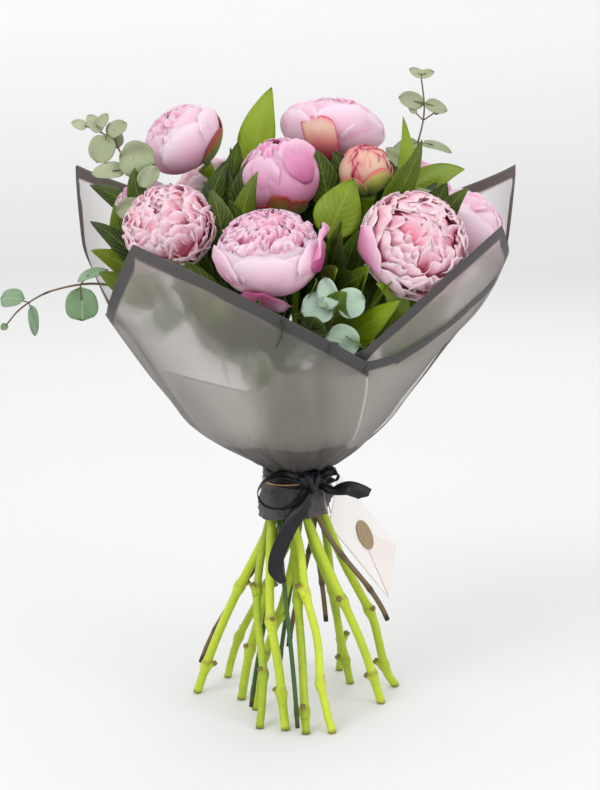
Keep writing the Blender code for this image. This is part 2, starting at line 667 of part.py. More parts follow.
def make_tag_string():
    """The thin string from the ribbon band to the envelope's top edge."""
    down, across, face = envelope_axes()
    hook = ENVELOPE_CENTRE - down * (ENVELOPE_LONG / 2 + GAP + STRING_THICKNESS / 2) - across * 0.020
    angle = math.radians(52)
    rim = BAND_RADIUS + 0.0006 + RIBBON_THICKNESS + GAP + STRING_THICKNESS / 2
    start = Vector((math.cos(angle) * rim, math.sin(angle) * rim, BAND_Z))
    middle = (start + hook) / 2 + Vector((0.002, 0.004, -0.005))
    points = [start, middle, hook]
    route = smooth_route(points, (middle - start), (hook - middle), 5)
    return place(tube(route, STRING_THICKNESS), "tag_string", (0.62, 0.33, 0.14), 0.7)


# ---------------------------------------------------------------- the bunch
def make_stems_and_blooms():
    """All stems, with the blooms and sprigs that they carry; returns every stem's route."""
    routes = {}
    for name, stem in PEONY_STEMS.items():
        bloom = BLOOMS[name]
        make_peony_stem(f"stem_{name}", stem, bloom)
        make_bloom(name, bloom)
        routes[f"stem_{name}"] = (stem_route(stem, PEONY_STEM, bloom.base(), bloom.axis()), PEONY_STEM)
    for name, stem in SPRIG_STEMS.items():
        make_sprig(name, stem)
        routes[name] = (stem_route(stem, SPRIG_STEM), SPRIG_STEM)
    for name, stem in FOLIAGE_STEMS.items():
        make_foliage_stem(name, stem)
        routes[name] = (stem_route(stem, FOLIAGE_STEM), FOLIAGE_STEM)
    return routes


def stand_on_origin():
    """Move the bunch so that its box is centred over the origin."""
    bpy.context.view_layer.update()
    pieces = bpy.data.collections["bunch_of_peonies"].objects
    corners = [piece.matrix_world @ vertex.co for piece in pieces for vertex in piece.data.vertices]
    middle_x = (min(corner.x for corner in corners) + max(corner.x for corner in corners)) / 2
    middle_y = (min(corner.y for corner in corners) + max(corner.y for corner in corners)) / 2
    for piece in pieces:
        piece.location = piece.location - Vector((middle_x, middle_y, 0))


def main():
    """Build the whole bunch."""
    clear_scene()
    make_collection("bunch_of_peonies")
    routes = make_stems_and_blooms()
    for name, petal in GUARD_PETALS.items():
        make_guard_petal(name, petal)
    for name, leaf in LEAVES.items():
        route, thickness = routes[leaf.stem]
        make_leaf(name, leaf, route, thickness)
    make_twine()
    make_wrap_sheet("wrap_back", BACK_EDGE, 0, (0.20, 0.18, 0.15))
    make_wrap_sheet("wrap_right", RIGHT_EDGE, 1, (0.22, 0.20, 0.17))
    make_wrap_sheet("wrap_left", LEFT_EDGE, 2, (0.24, 0.22, 0.19))
    make_ribbon_band()
    make_knot()
    for name, (route, sides) in RIBBON_STRIPS.items():
        make_strip(name, route, sides)
    make_envelope()
    make_seal()
    make_tag_string()
    stand_on_origin()


main()
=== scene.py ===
"""Hand-tied bunch of peonies in frosted film: petals, leaves, stems, film, ribbon and envelope.

Everything is in metres, +Z up. The bunch's own axis stands over the centre of its twine, and
every route below is measured from that axis. Each class models one kind of piece and dresses it.
"""
from __future__ import annotations

import logging
import math
from collections.abc import Callable
from dataclasses import dataclass, replace
from enum import Enum

import bpy
import numpy as np
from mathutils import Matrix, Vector


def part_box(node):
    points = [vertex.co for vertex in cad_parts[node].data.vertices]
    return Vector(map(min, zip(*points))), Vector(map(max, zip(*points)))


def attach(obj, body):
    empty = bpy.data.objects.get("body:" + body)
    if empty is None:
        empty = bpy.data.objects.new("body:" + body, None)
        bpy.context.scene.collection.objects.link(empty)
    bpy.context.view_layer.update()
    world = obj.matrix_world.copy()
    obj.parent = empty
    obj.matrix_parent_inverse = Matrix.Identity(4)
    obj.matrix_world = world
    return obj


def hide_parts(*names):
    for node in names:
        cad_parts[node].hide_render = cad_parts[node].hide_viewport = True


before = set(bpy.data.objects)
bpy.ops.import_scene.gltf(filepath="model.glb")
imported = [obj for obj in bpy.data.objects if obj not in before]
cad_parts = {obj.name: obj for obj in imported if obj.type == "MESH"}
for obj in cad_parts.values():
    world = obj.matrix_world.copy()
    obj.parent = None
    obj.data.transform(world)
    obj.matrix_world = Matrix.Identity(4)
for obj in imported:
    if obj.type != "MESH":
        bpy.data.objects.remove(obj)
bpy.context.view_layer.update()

LOG = logging.getLogger("bunch_of_peonies")
ROOT = "root"
TWINE_LOW, TWINE_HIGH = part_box("twine")
AXIS = np.array([(TWINE_LOW.x + TWINE_HIGH.x) / 2, (TWINE_LOW.y + TWINE_HIGH.y) / 2, 0.0])

WAIST_Z = 0.205
PEONY_STEM = 0.0080
SPRIG_STEM = 0.0046
FOLIAGE_STEM = 0.0040
RIBBON_WIDTH = 0.013
PETAL_WALL = 0.00035
GUARD_WALL = 0.0005
SEPAL_WALL = 0.0008
LEAF_WALL = 0.00045
COIN_WALL = 0.0004
FILM_WALL = 0.00022
SATIN_WALL = 0.00035
GOLDEN_ANGLE = 2.399963

Colour = tuple[float, float, float]
Point = tuple[float, float, float]


# ---------------------------------------------------------------- small numeric helpers
def unit(vector: np.ndarray) -> np.ndarray:
    """Scale vectors to length one."""
    return vector / np.maximum(np.linalg.norm(vector, axis=-1, keepdims=True), 1e-9)


def ease(value: np.ndarray | float, low: float, high: float) -> np.ndarray | float:
    """Smooth step from 0 at low to 1 at high."""
    t = np.clip((value - low) / (high - low), 0.0, 1.0)
    return t * t * (3 - 2 * t)


def axes_for(facing: Point) -> np.ndarray:
    """Rows are the right, back and facing directions of a piece that looks along facing."""
    out = unit(np.array(facing))
    right = unit(np.array([1.0, 0.0, 0.0]) - out[0] * out)
    return np.stack([right, np.cross(out, right), out])


def scaled(colour: Colour, factor: float) -> Colour:
    """A colour made lighter or darker."""
    return tuple(factor * channel for channel in colour)


def polar(angle: np.ndarray, radius: np.ndarray | float, height: np.ndarray | float) -> np.ndarray:
    """Points at an angle, distance and height about the bunch's axis."""
    return np.stack([np.cos(angle) * radius, np.sin(angle) * radius, height], axis=-1)


def bowed(start: np.ndarray, bend: np.ndarray, tip: np.ndarray, t: np.ndarray) -> np.ndarray:
    """Points of the even curve from start to tip that leans towards bend."""
    return start * (1 - t) ** 2 + bend * 2 * t * (1 - t) + tip * t**2


def read_rows(wanted: np.ndarray, places: np.ndarray, rows: np.ndarray) -> np.ndarray:
    """The rows' three values at the wanted places."""
    return np.stack([np.interp(wanted, places, rows[:, k]) for k in range(3)], axis=1)


def quads(rows: int, count: int, closed: bool = True) -> list[tuple[int, ...]]:
    """Faces between neighbouring rows of count points, which may close into rings."""
    return [(r * count + k, r * count + (k + 1) % count, (r + 1) * count + (k + 1) % count,
             (r + 1) * count + k)
            for r in range(rows - 1) for k in range(count if closed else count - 1)]


def hermite(start: np.ndarray, run: np.ndarray, end: np.ndarray, out: np.ndarray, t: float) -> np.ndarray:
    """A point of the cubic that leaves start along run and meets end along out."""
    return (start * (2 * t**3 - 3 * t**2 + 1) + run * (t**3 - 2 * t**2 + t)
            + end * (3 * t**2 - 2 * t**3) + out * (t**3 - t**2))


def smooth_route(points: list[np.ndarray], first: np.ndarray, last: np.ndarray, steps: int) -> np.ndarray:
    """Sample a smooth curve through the points.

    Args:
        points: The points that the curve passes.
        first: The direction and pace at the start.
        last: The direction and pace at the end.
        steps: Samples per stretch.

    Returns:
        The curve's points, one row each.
    """
    runs = [first] + [(b - a) / 2 for a, b in zip(points, points[2:])] + [last]
    route = [hermite(points[i], runs[i], points[i + 1], runs[i + 1], k / steps)
             for i in range(len(points) - 1) for k in range(steps)]
    return np.array(route + [points[-1]])


def resample(route: np.ndarray, count: int) -> np.ndarray:
    """Spread a route's points evenly along its length."""
    lengths = np.concatenate([[0.0], np.cumsum(np.linalg.norm(np.diff(route, axis=0), axis=1))])
    wanted = np.linspace(0.0, lengths[-1], count)
    return read_rows(wanted, lengths, route)


# ---------------------------------------------------------------- modelling by hand
def primitive(add: Callable, name: str, **sizes) -> bpy.types.Object:
    """Start a piece from a primitive, with nothing else selected."""
    bpy.ops.object.select_all(action="DESELECT")
    add(**sizes)
    bpy.context.object.name = name
    return bpy.context.object


def apply_modifier(piece: bpy.types.Object, kind: str, **values) -> None:
    """Add a modifier with its values and apply it."""
    made = piece.modifiers.new(kind.lower(), kind)
    for key, value in values.items():
        setattr(made, key, value)
    bpy.ops.object.modifier_apply(modifier=made.name)


def cut_finer(cuts: int) -> None:
    """Subdivide the whole active piece in edit mode, and stay there."""
    bpy.ops.object.mode_set(mode="EDIT")
    bpy.ops.mesh.select_all(action="SELECT")
    bpy.ops.mesh.subdivide(number_cuts=cuts)


# ---------------------------------------------------------------- node materials
class Shader:
    """A short hand for building one node material."""

    def __init__(self, name: str) -> None:
        """Make an empty material with its output."""
        self.material = bpy.data.materials.new(name)
        self.material.use_nodes = True
        self.tree = self.material.node_tree
        self.tree.nodes.clear()
        self.output = self.tree.nodes.new("ShaderNodeOutputMaterial")

    def node(self, kind: str, **values) -> bpy.types.Node:
        """Add a node and set its properties."""
        made = self.tree.nodes.new(kind)
        for key, value in values.items():
            setattr(made, key, value)
        return made

    def link(self, source, target) -> None:
        """Join two sockets."""
        self.tree.links.new(source, target)

    def feed(self, socket, value) -> None:
        """Link a socket or set a plain value."""
        if isinstance(value, bpy.types.NodeSocket):
            self.link(value, socket)
        elif isinstance(value, tuple) and len(value) == 3 and len(socket.default_value) == 4:
            socket.default_value = (*value, 1.0)
        else:
            socket.default_value = value

    def math(self, operation: str, *values, clamp: bool = False):
        """A Math node's result."""
        made = self.node("ShaderNodeMath", operation=operation, use_clamp=clamp)
        for socket, value in zip(made.inputs, values):
            self.feed(socket, value)
        return made.outputs[0]

    def mix(self, share, first, second, blend: str = "MIX"):
        """A colour mix."""
        made = self.node("ShaderNodeMix", data_type="RGBA", blend_type=blend)
        self.feed(made.inputs[0], share)
        self.feed(made.inputs[6], first)
        self.feed(made.inputs[7], second)
        return made.outputs[2]

    def ramp(self, share, *stops: tuple[float, Colour]):
        """A colour ramp through the stops."""
        made = self.node("ShaderNodeValToRGB")
        ramp = made.color_ramp
        while len(ramp.elements) < len(stops):
            ramp.elements.new(0.5)
        for element, (place, colour) in zip(ramp.elements, stops):
            element.position = place
            element.color = (*colour, 1.0)
        self.link(share, made.inputs[0])
        return made.outputs[0]

    def channels(self, attribute: str) -> list:
        """The red, green and blue channels of a mesh attribute."""
        source = self.node("ShaderNodeAttribute", attribute_name=attribute)
        parts = self.node("ShaderNodeSeparateColor")
        self.link(source.outputs["Color"], parts.inputs[0])
        return list(parts.outputs)[:3]

    def place(self, scale: Point = (1.0, 1.0, 1.0), source: str = "Object"):
        """Texture coordinates at a scale."""
        origin = self.node("ShaderNodeTexCoord")
        mapping = self.node("ShaderNodeMapping")
        mapping.inputs["Scale"].default_value = scale
        self.link(origin.outputs[source], mapping.inputs["Vector"])
        return mapping.outputs[0]

    def coordinates(self, source: str = "Object") -> list:
        """The X, Y and Z of the texture coordinates."""
        parts = self.node("ShaderNodeSeparateXYZ")
        self.link(self.place(source=source), parts.inputs[0])
        return list(parts.outputs)

    def noise(self, vector, scale: float, detail: float = 3.0, rough: float = 0.5):
        """Noise between 0 and 1."""
        made = self.node("ShaderNodeTexNoise")
        self.link(vector, made.inputs["Vector"])
        made.inputs["Scale"].default_value = scale
        made.inputs["Detail"].default_value = detail
        made.inputs["Roughness"].default_value = rough
        return made.outputs[0]

    def bump(self, height, depth: float, strength: float = 0.5):
        """A normal from a height."""
        made = self.node("ShaderNodeBump")
        made.inputs["Strength"].default_value = strength
        made.inputs["Distance"].default_value = depth
        self.link(height, made.inputs["Height"])
        return made.outputs[0]

    def principled(self, colour, roughness, normal=None, **settings) -> bpy.types.Node:
        """A Principled shader with plain settings by socket name."""
        made = self.node("ShaderNodeBsdfPrincipled")
        self.feed(made.inputs["Base Color"], colour)
        self.feed(made.inputs["Roughness"], roughness)
        if normal is not None:
            self.link(normal, made.inputs["Normal"])
        for key, value in settings.items():
            self.feed(made.inputs[key.replace("_", " ")], value)
        return made

    def shader(self, kind: str, **sockets):
        """A plain shader's surface, with its sockets by name."""
        made = self.node(kind)
        for key, value in sockets.items():
            self.feed(made.inputs[key], value)
        return made.outputs[0]

    def blend(self, share, first, second):
        """A mix of two surfaces."""
        made = self.node("ShaderNodeMixShader")
        self.feed(made.inputs[0], share)
        self.link(first, made.inputs[1])
        self.link(second, made.inputs[2])
        return made.outputs[0]

    def finish(self, surface) -> bpy.types.Material:
        """Give the material its surface."""
        self.link(surface, self.output.inputs["Surface"])
        return self.material

    def thin(self, colour, body: bpy.types.Node, share: float) -> bpy.types.Material:
        """Finish as a thin blade that lets some light through in its own colour."""
        glow = self.shader("ShaderNodeBsdfTranslucent", Color=colour)
        return self.finish(self.blend(share, body.outputs[0], glow))


@dataclass(frozen=True)
class PetalFinish:
    """Soft satin petals: deep in the folds and at the claw, pale towards the lip."""
    name: str
    deep: Colour
    middle: Colour
    pale: Colour
    lip: Colour
    streak: Colour | None = None
    glow: float = 0.56

    def build(self) -> bpy.types.Material:
        """Make the material."""
        s = Shader(self.name)
        reach, edge, tone = s.channels("growth")
        veins = s.noise(s.place((42.0, 2.0, 1.0), "UV"), 1.0, 3.0, 0.6)
        cloud = s.noise(s.place(), 60.0, 2.0)
        share = s.math("SUBTRACT", reach, s.math("MULTIPLY", tone, 0.40))
        share = s.math("ADD", share, s.math("MULTIPLY", s.math("SUBTRACT", veins, 0.5), 0.16))
        share = s.math("ADD", share, s.math("MULTIPLY", s.math("SUBTRACT", cloud, 0.5), 0.34))
        share = s.math("ADD", share, s.math("MULTIPLY", edge, 0.06), clamp=True)
        colour = s.ramp(share, (0.06, self.deep), (0.40, self.middle), (0.72, self.pale), (1.0, self.lip))
        if self.streak:
            lines = s.math("POWER", edge, 2.0, clamp=True)
            wander = s.noise(s.place((3.0, 1.3, 1.0), "UV"), 2.2, 2.0)
            lines = s.math("MULTIPLY", lines, s.math("MULTIPLY", wander, 2.0), clamp=True)
            colour = s.mix(lines, colour, self.streak)
        normal = s.bump(veins, 0.0005, 0.45)
        body = s.principled(colour, 0.50, normal, Sheen_Weight=0.20, Sheen_Roughness=0.5,
                            Specular_IOR_Level=0.35)
        return s.thin(colour, body, self.glow)


@dataclass(frozen=True)
class LeafFinish:
    """Glossy veined leaf; tone runs from the painted-shade colour to the painted-sunlight colour, so shaded
    and lit leaves are painted copies of one green.
    """
    name: str
    # The colours of a leaf painted in shade and of one painted in sunlight.
    painted_shade_colour: Colour
    light: Colour
    vein: Colour
    roughness: float = 0.34

    def build(self) -> bpy.types.Material:
        """Make the material."""
        s = Shader(self.name)
        _, _, tone = s.channels("growth")
        sideways, along, _ = s.coordinates("UV")
        across = s.math("ABSOLUTE", s.math("SUBTRACT", sideways, 0.5))
        run = s.math("SUBTRACT", along, s.math("MULTIPLY", across, 0.55))
        ribs = s.math("POWER", s.math("ABSOLUTE", s.math("SINE", s.math("MULTIPLY", run, 34.0))), 14.0)
        midrib = s.math("SUBTRACT", 1.0, s.math("MULTIPLY", across, 30.0), clamp=True)
        lines = s.math("MAXIMUM", s.math("MULTIPLY", ribs, 0.45), midrib)
        patch = s.noise(s.place(), 60.0, 4.0)
        # Painted light: tone, with a little random mottling, sets how far each leaf is painted from shade
        # towards sunlight.
        share = s.math("ADD", tone, s.math("MULTIPLY", s.math("SUBTRACT", patch, 0.5), 0.5), clamp=True)
        colour = s.mix(share, self.painted_shade_colour, self.light)
        colour = s.mix(s.math("MULTIPLY", lines, 0.55), colour, self.vein)
        height = s.math("SUBTRACT", s.math("MULTIPLY", patch, 0.15), lines)
        normal = s.bump(height, 0.0005, 0.5)
        rough = s.math("ADD", self.roughness, s.math("MULTIPLY", patch, 0.12))
        body = s.principled(colour, rough, normal, Specular_IOR_Level=0.5)
        return s.thin(colour, body, 0.16)


@dataclass(frozen=True)
class StemFinish:
    """Waxy stem: streaks along its length, brown at the scars of its joints, and painted shade that darkens
    it under and inside the film wrap.
    """
    name: str
    light: Colour
    dark: Colour
    scar: Colour
    roughness: float = 0.40

    def build(self) -> bpy.types.Material:
        """Make the material."""
        s = Shader(self.name)
        scar, painted_wrap_shade_and_tone, tone = s.channels("growth")
        streak = s.noise(s.place((9.0, 26.0, 1.0), "UV"), 1.0, 4.0, 0.6)
        patch = s.noise(s.place(), 34.0, 3.0)
        share = s.math("ADD", s.math("MULTIPLY", streak, 0.55), s.math("MULTIPLY", patch, 0.75))
        share = s.math("ADD", s.math("SUBTRACT", share, 0.45), s.math("MULTIPLY", tone, 0.55), clamp=True)
        # Painted shade: the second growth channel darkens the stem where the film wrap covers it, with a
        # random darkness of its own per stem.
        share = s.math("ADD", share, painted_wrap_shade_and_tone, clamp=True)
        colour = s.mix(share, self.light, self.dark)
        speck = s.math("GREATER_THAN", s.noise(s.place(), 420.0, 2.0), 0.72)
        colour = s.mix(s.math("MULTIPLY", speck, 0.25), colour, self.scar)
        rim = s.math("MULTIPLY", scar, s.math("ADD", patch, 0.45), clamp=True)
        colour = s.mix(rim, colour, self.scar)
        normal = s.bump(s.math("ADD", streak, s.math("MULTIPLY", patch, 0.5)), 0.0004, 0.5)
        body = s.principled(colour, self.roughness, normal, Specular_IOR_Level=0.30)
        return s.finish(body.outputs[0])


@dataclass(frozen=True)
class FilmFinish:
    """Frosted translucent film with a dark printed border, glossier where it is gathered, with painted shade
    there below its fold line, painted light towards its sides and a painted highlight at a free cut edge.
    """
    name: str
    frost: Colour
    glow: Colour
    border: Colour
    clear: float

    # Beyond this distance from the middle the film is painted lighter, at this pace, up to this factor:
    # painted light that lifts both sides of the wrap.
    SIDES_FROM = 0.055
    SIDES_PACE = 11.0
    SIDES_PAINTED_LIGHTER = 1.75
    CLEAR_TINT = (0.985, 0.978, 0.97)
    SHARP_SHARE = 0.28

    def build(self) -> bpy.types.Material:
        """Make the material."""
        s = Shader(self.name)
        band, gather, rim = s.channels("growth")
        grain = s.noise(s.place(), 900.0, 2.0)
        cloud = s.noise(s.place(), 22.0, 3.0)
        crease = s.noise(s.place((1.0, 1.0, 0.45)), 150.0, 4.0, 0.65)
        # Painted light: the film's colour is lifted with its distance sideways from the middle.
        apart = s.math("ABSOLUTE", s.coordinates()[0])
        side = s.math("MULTIPLY", s.math("SUBTRACT", apart, self.SIDES_FROM), self.SIDES_PACE, clamp=True)
        tint = s.mix(side, self.frost, scaled(self.frost, self.SIDES_PAINTED_LIGHTER))
        tint = s.mix(s.math("MULTIPLY", cloud, 0.35), tint, scaled(self.frost, 0.8))
        # Painted shade: below the fold line, where it is gathered, the film is painted far darker.
        tint = s.mix(s.math("MULTIPLY", gather, 0.9), tint, scaled(self.frost, 0.34))
        # Painted highlight: a free cut edge of the film is painted lighter; it is also made less clear where
        # the clear share is worked out.
        tint = s.mix(rim, tint, (0.85, 0.83, 0.80))
        colour = s.mix(band, tint, self.border)
        # Painted shade: the light let through is dimmed where the film is gathered.
        glow = s.mix(s.math("MULTIPLY", gather, 0.85), self.glow, scaled(self.glow, 0.12))
        glow = s.mix(band, glow, scaled(self.border, 1.6))
        rough = s.math("SUBTRACT", 0.40, s.math("MULTIPLY", gather, 0.30))
        height = s.math("ADD", s.math("MULTIPLY", grain, 0.02), s.math("MULTIPLY", crease, gather))
        body = s.principled(colour, rough, s.bump(height, 0.0040, 0.9), Specular_IOR_Level=0.5)
        soft = s.blend(0.45, body.outputs[0], s.shader("ShaderNodeBsdfTranslucent", Color=glow))
        blurred = s.shader("ShaderNodeBsdfRefraction", Color=self.CLEAR_TINT, Roughness=0.38, IOR=1.16)
        sharp = s.shader("ShaderNodeBsdfTransparent", Color=self.CLEAR_TINT)
        clear = self.clear
        for channel, share in ((band, 0.80), (gather, 0.70), (rim, 0.8)):
            kept = s.math("SUBTRACT", 1.0, s.math("MULTIPLY", channel, share))
            clear = s.math("MULTIPLY", clear, kept)
        return s.finish(s.blend(clear, soft, s.blend(self.SHARP_SHARE, blurred, sharp)))


@dataclass(frozen=True)
class SatinFinish:
    """Black satin ribbon with fine threads along its length."""
    name: str
    colour: Colour

    def build(self) -> bpy.types.Material:
        """Make the material."""
        s = Shader(self.name)
        threads = s.noise(s.place((120.0, 2.0, 1.0), "UV"), 1.0, 3.0)
        weave = s.noise(s.place(), 1500.0, 1.0)
        colour = s.mix(s.math("MULTIPLY", threads, 0.5), self.colour, scaled(self.colour, 3.0))
        normal = s.bump(s.math("ADD", threads, s.math("MULTIPLY", weave, 0.3)), 0.0002, 0.35)
        rough = s.math("ADD", 0.30, s.math("MULTIPLY", threads, 0.16))
        body = s.principled(colour, rough, normal, Anisotropic=0.5, Specular_IOR_Level=0.32)
        return s.finish(body.outputs[0])


@dataclass(frozen=True)
class PaperFinish:
    """Matt paper or foil: faint fibre mottling over one colour."""
    name: str
    colour: Colour
    roughness: float = 0.75
    metallic: float = 0.0

    def build(self) -> bpy.types.Material:
        """Make the material."""
        s = Shader(self.name)
        fibre = s.noise(s.place(), 480.0, 5.0, 0.65)
        cloud = s.noise(s.place(), 40.0, 2.0)
        blend = s.math("ADD", s.math("MULTIPLY", fibre, 0.35), s.math("MULTIPLY", cloud, 0.25))
        colour = s.mix(blend, self.colour, scaled(self.colour, 0.82))
        body = s.principled(colour, self.roughness, s.bump(fibre, 0.0002, 0.35), Metallic=self.metallic)
        return s.finish(body.outputs[0])


@dataclass(frozen=True)
class TwineFinish:
    """Twisted natural fibre, with painted shade in the grooves between its strands."""
    name: str
    colour: Colour

    def build(self) -> bpy.types.Material:
        """Make the material."""
        s = Shader(self.name)
        strands = s.node("ShaderNodeTexWave", wave_type="BANDS", bands_direction="DIAGONAL")
        s.link(s.place(), strands.inputs["Vector"])
        strands.inputs["Scale"].default_value = 320.0
        strands.inputs["Distortion"].default_value = 2.0
        # Painted shade: the colour falls to half where the strands' bump is low, in the grooves.
        colour = s.mix(strands.outputs[1], scaled(self.colour, 0.5), self.colour)
        body = s.principled(colour, 0.85, s.bump(strands.outputs[1], 0.0003, 0.6), Sheen_Weight=0.2)
        return s.finish(body.outputs[0])


# ---------------------------------------------------------------- blades: the stock of petals and leaves
class Blade:
    """A flat blade with its grid, modelled once and bent into every petal or leaf of its kind."""

    def __init__(self, across: int, along: int, crowding: float = 1.0) -> None:
        """Model the flat grid by hand and read its corners.

        Args:
            across: Faces from side to side.
            along: Faces from claw to lip.
            crowding: Below 1, the rows stand closer together near the lip.
        """
        grid = primitive(bpy.ops.mesh.primitive_grid_add, "blade_stock", x_subdivisions=across,
                         y_subdivisions=along, size=2.0)
        points = np.array([vertex.co for vertex in grid.data.vertices])
        self.faces = np.array([list(face.vertices) for face in grid.data.polygons])
        self.u = points[:, 0]
        self.v = ((points[:, 1] + 1) / 2) ** crowding
        self.shape = (along + 1, across + 1)
        bpy.data.objects.remove(grid, do_unlink=True)


class Cluster:
    """Blades and tubes that are gathered into one mesh piece."""

    def __init__(self, name: str) -> None:
        """Start an empty piece."""
        self.name = name
        self.points: list[np.ndarray] = []
        self.faces: list[tuple[int, ...]] = []
        self.uv: list[np.ndarray] = []
        self.growth: list[np.ndarray] = []
        self.count = 0

    def add(self, points: np.ndarray, faces: list, uv: np.ndarray, growth: np.ndarray) -> None:
        """Add one shape with its pattern coordinates and growth channels."""
        self.points.append(points)
        self.faces.extend(tuple(int(i) + self.count for i in face) for face in faces)
        self.uv.append(uv)
        self.growth.append(growth)
        self.count += len(points)

    def blade(self, blade: Blade, points: np.ndarray, tone: float, fresh: float = 0.0) -> None:
        """Add a bent petal: growth holds its paleness, how near the edge, and its tone."""
        edge = np.maximum(np.abs(blade.u), blade.v) ** 8
        growth = np.stack([fresh + (1 - fresh) * blade.v**1.6, edge, np.full_like(blade.v, tone)], axis=1)
        uv = np.stack([blade.u * 0.5 + 0.5 + 3 * tone, blade.v], axis=1)
        self.add(points, blade.faces, uv, growth)

    def leaf(self, blade: Blade, points: np.ndarray, tone: float) -> None:
        """Add a bent leaf, whose pattern stays centred on its midrib."""
        edge = np.maximum(np.abs(blade.u), blade.v) ** 6
        growth = np.stack([blade.v, edge, np.full_like(blade.v, tone)], axis=1)
        self.add(points, blade.faces, np.stack([blade.u * 0.5 + 0.5, blade.v], axis=1), growth)

    def tube(self, route: np.ndarray, radii: np.ndarray, sides: int, growth: np.ndarray) -> None:
        """Add a closed tube along a route, with a radius and growth channels for each point."""
        along = unit(np.gradient(route, axis=0))
        side = unit(np.cross(along[0], np.array([0.3, 1.0, 0.2])))
        turns = 2 * np.pi * np.arange(sides) / sides
        points, uv, grown = [], [], []
        for i, centre in enumerate(route):
            side = unit(side - along[i] * np.dot(side, along[i]))
            other = np.cross(along[i], side)
            ring = centre + radii[i] * (np.outer(np.cos(turns), side) + np.outer(np.sin(turns), other))
            points.append(ring)
            uv.append(np.stack([turns / (2 * np.pi), np.full(sides, i / (len(route) - 1) * 4)], axis=1))
            grown.append(np.tile(growth[i], (sides, 1)))
        faces = quads(len(route), sides)
        last = (len(route) - 1) * sides
        faces.append(tuple(range(sides - 1, -1, -1)))
        faces.append(tuple(last + k for k in range(sides)))
        self.add(np.concatenate(points), faces, np.concatenate(uv), np.concatenate(grown))

    def build(self, thickness: float = 0.0, offset: float = 0.0, smooth: int = 0) -> bpy.types.Object:
        """Make the mesh piece.

        Args:
            thickness: Wall given to open blades, 0 for shapes that are closed already.
            offset: Solidify's offset.
            smooth: Levels of subdivision.

        Returns:
            The object, placed by its mesh.
        """
        mesh = bpy.data.meshes.new(self.name)
        grounded = np.concatenate(self.points) + AXIS
        grounded[:, 2] = np.maximum(grounded[:, 2], 0.0)
        mesh.from_pydata(grounded.tolist(), [], self.faces)
        uv, growth = np.concatenate(self.uv), np.concatenate(self.growth)
        layer = mesh.uv_layers.new(name="UVMap")
        corners = np.empty(len(mesh.loops), dtype=np.int32)
        mesh.loops.foreach_get("vertex_index", corners)
        layer.data.foreach_set("uv", uv[corners].ravel())
        colours = mesh.color_attributes.new("growth", "FLOAT_COLOR", "POINT")
        colours.data.foreach_set("color", np.c_[growth, np.ones(len(growth))].ravel())
        piece = bpy.data.objects.new(self.name, mesh)
        bpy.context.scene.collection.objects.link(piece)
        bpy.ops.object.select_all(action="DESELECT")
        piece.select_set(True)
        bpy.context.view_layer.objects.active = piece
        if smooth:
            apply_modifier(piece, "SUBSURF", levels=smooth, render_levels=smooth)
        if thickness:
            apply_modifier(piece, "SOLIDIFY", thickness=thickness, offset=offset)
        bpy.ops.object.shade_smooth()
        return piece


def hand_over(piece: bpy.types.Object, slot: str, material: bpy.types.Material, *nodes: str) -> None:
    """Dress a piece, let it ride on the bunch and stand for its CAD nodes."""
    piece.data.materials.clear()
    piece.data.materials.append(material)
    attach(piece, ROOT)
    if nodes:
        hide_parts(*nodes)
    LOG.info("%s: %d faces", piece.name, len(piece.data.polygons))


# ---------------------------------------------------------------- blooms
@dataclass(frozen=True)
class Ring:
    """Like petals around a bloom; sizes are shares of its radius, angles are degrees.

    tip is how far the lip stands from the bloom's top, span how far the claw lies below it,
    claw the claw's share of the radius, and scatter how unevenly the lips end.
    """
    count: int
    tip: float
    width: float
    shell: float = 1.0
    flare: float = 0.06
    ruffle: float = 0.04
    notch: float = 0.03
    tone: float = 0.2
    turn: float = 0.0
    span: float = 150.0
    claw: float = 0.90
    scatter: float = 4.0
    fresh: float = 0.0


def nest(tips: tuple[float, ...], counts: tuple[int, ...], width: float, **shape) -> tuple[Ring, ...]:
    """Rings of inner petals, each a little deeper in tone and narrower than the last."""
    rings = []
    for place, (tip, count) in enumerate(zip(tips, counts)):
        share = place / max(1, len(tips) - 1)
        rings.append(Ring(count, tip, width * (1 - 0.35 * share), turn=37.0 * place,
                          tone=0.12 + 0.38 * share, **shape))
    return tuple(rings)


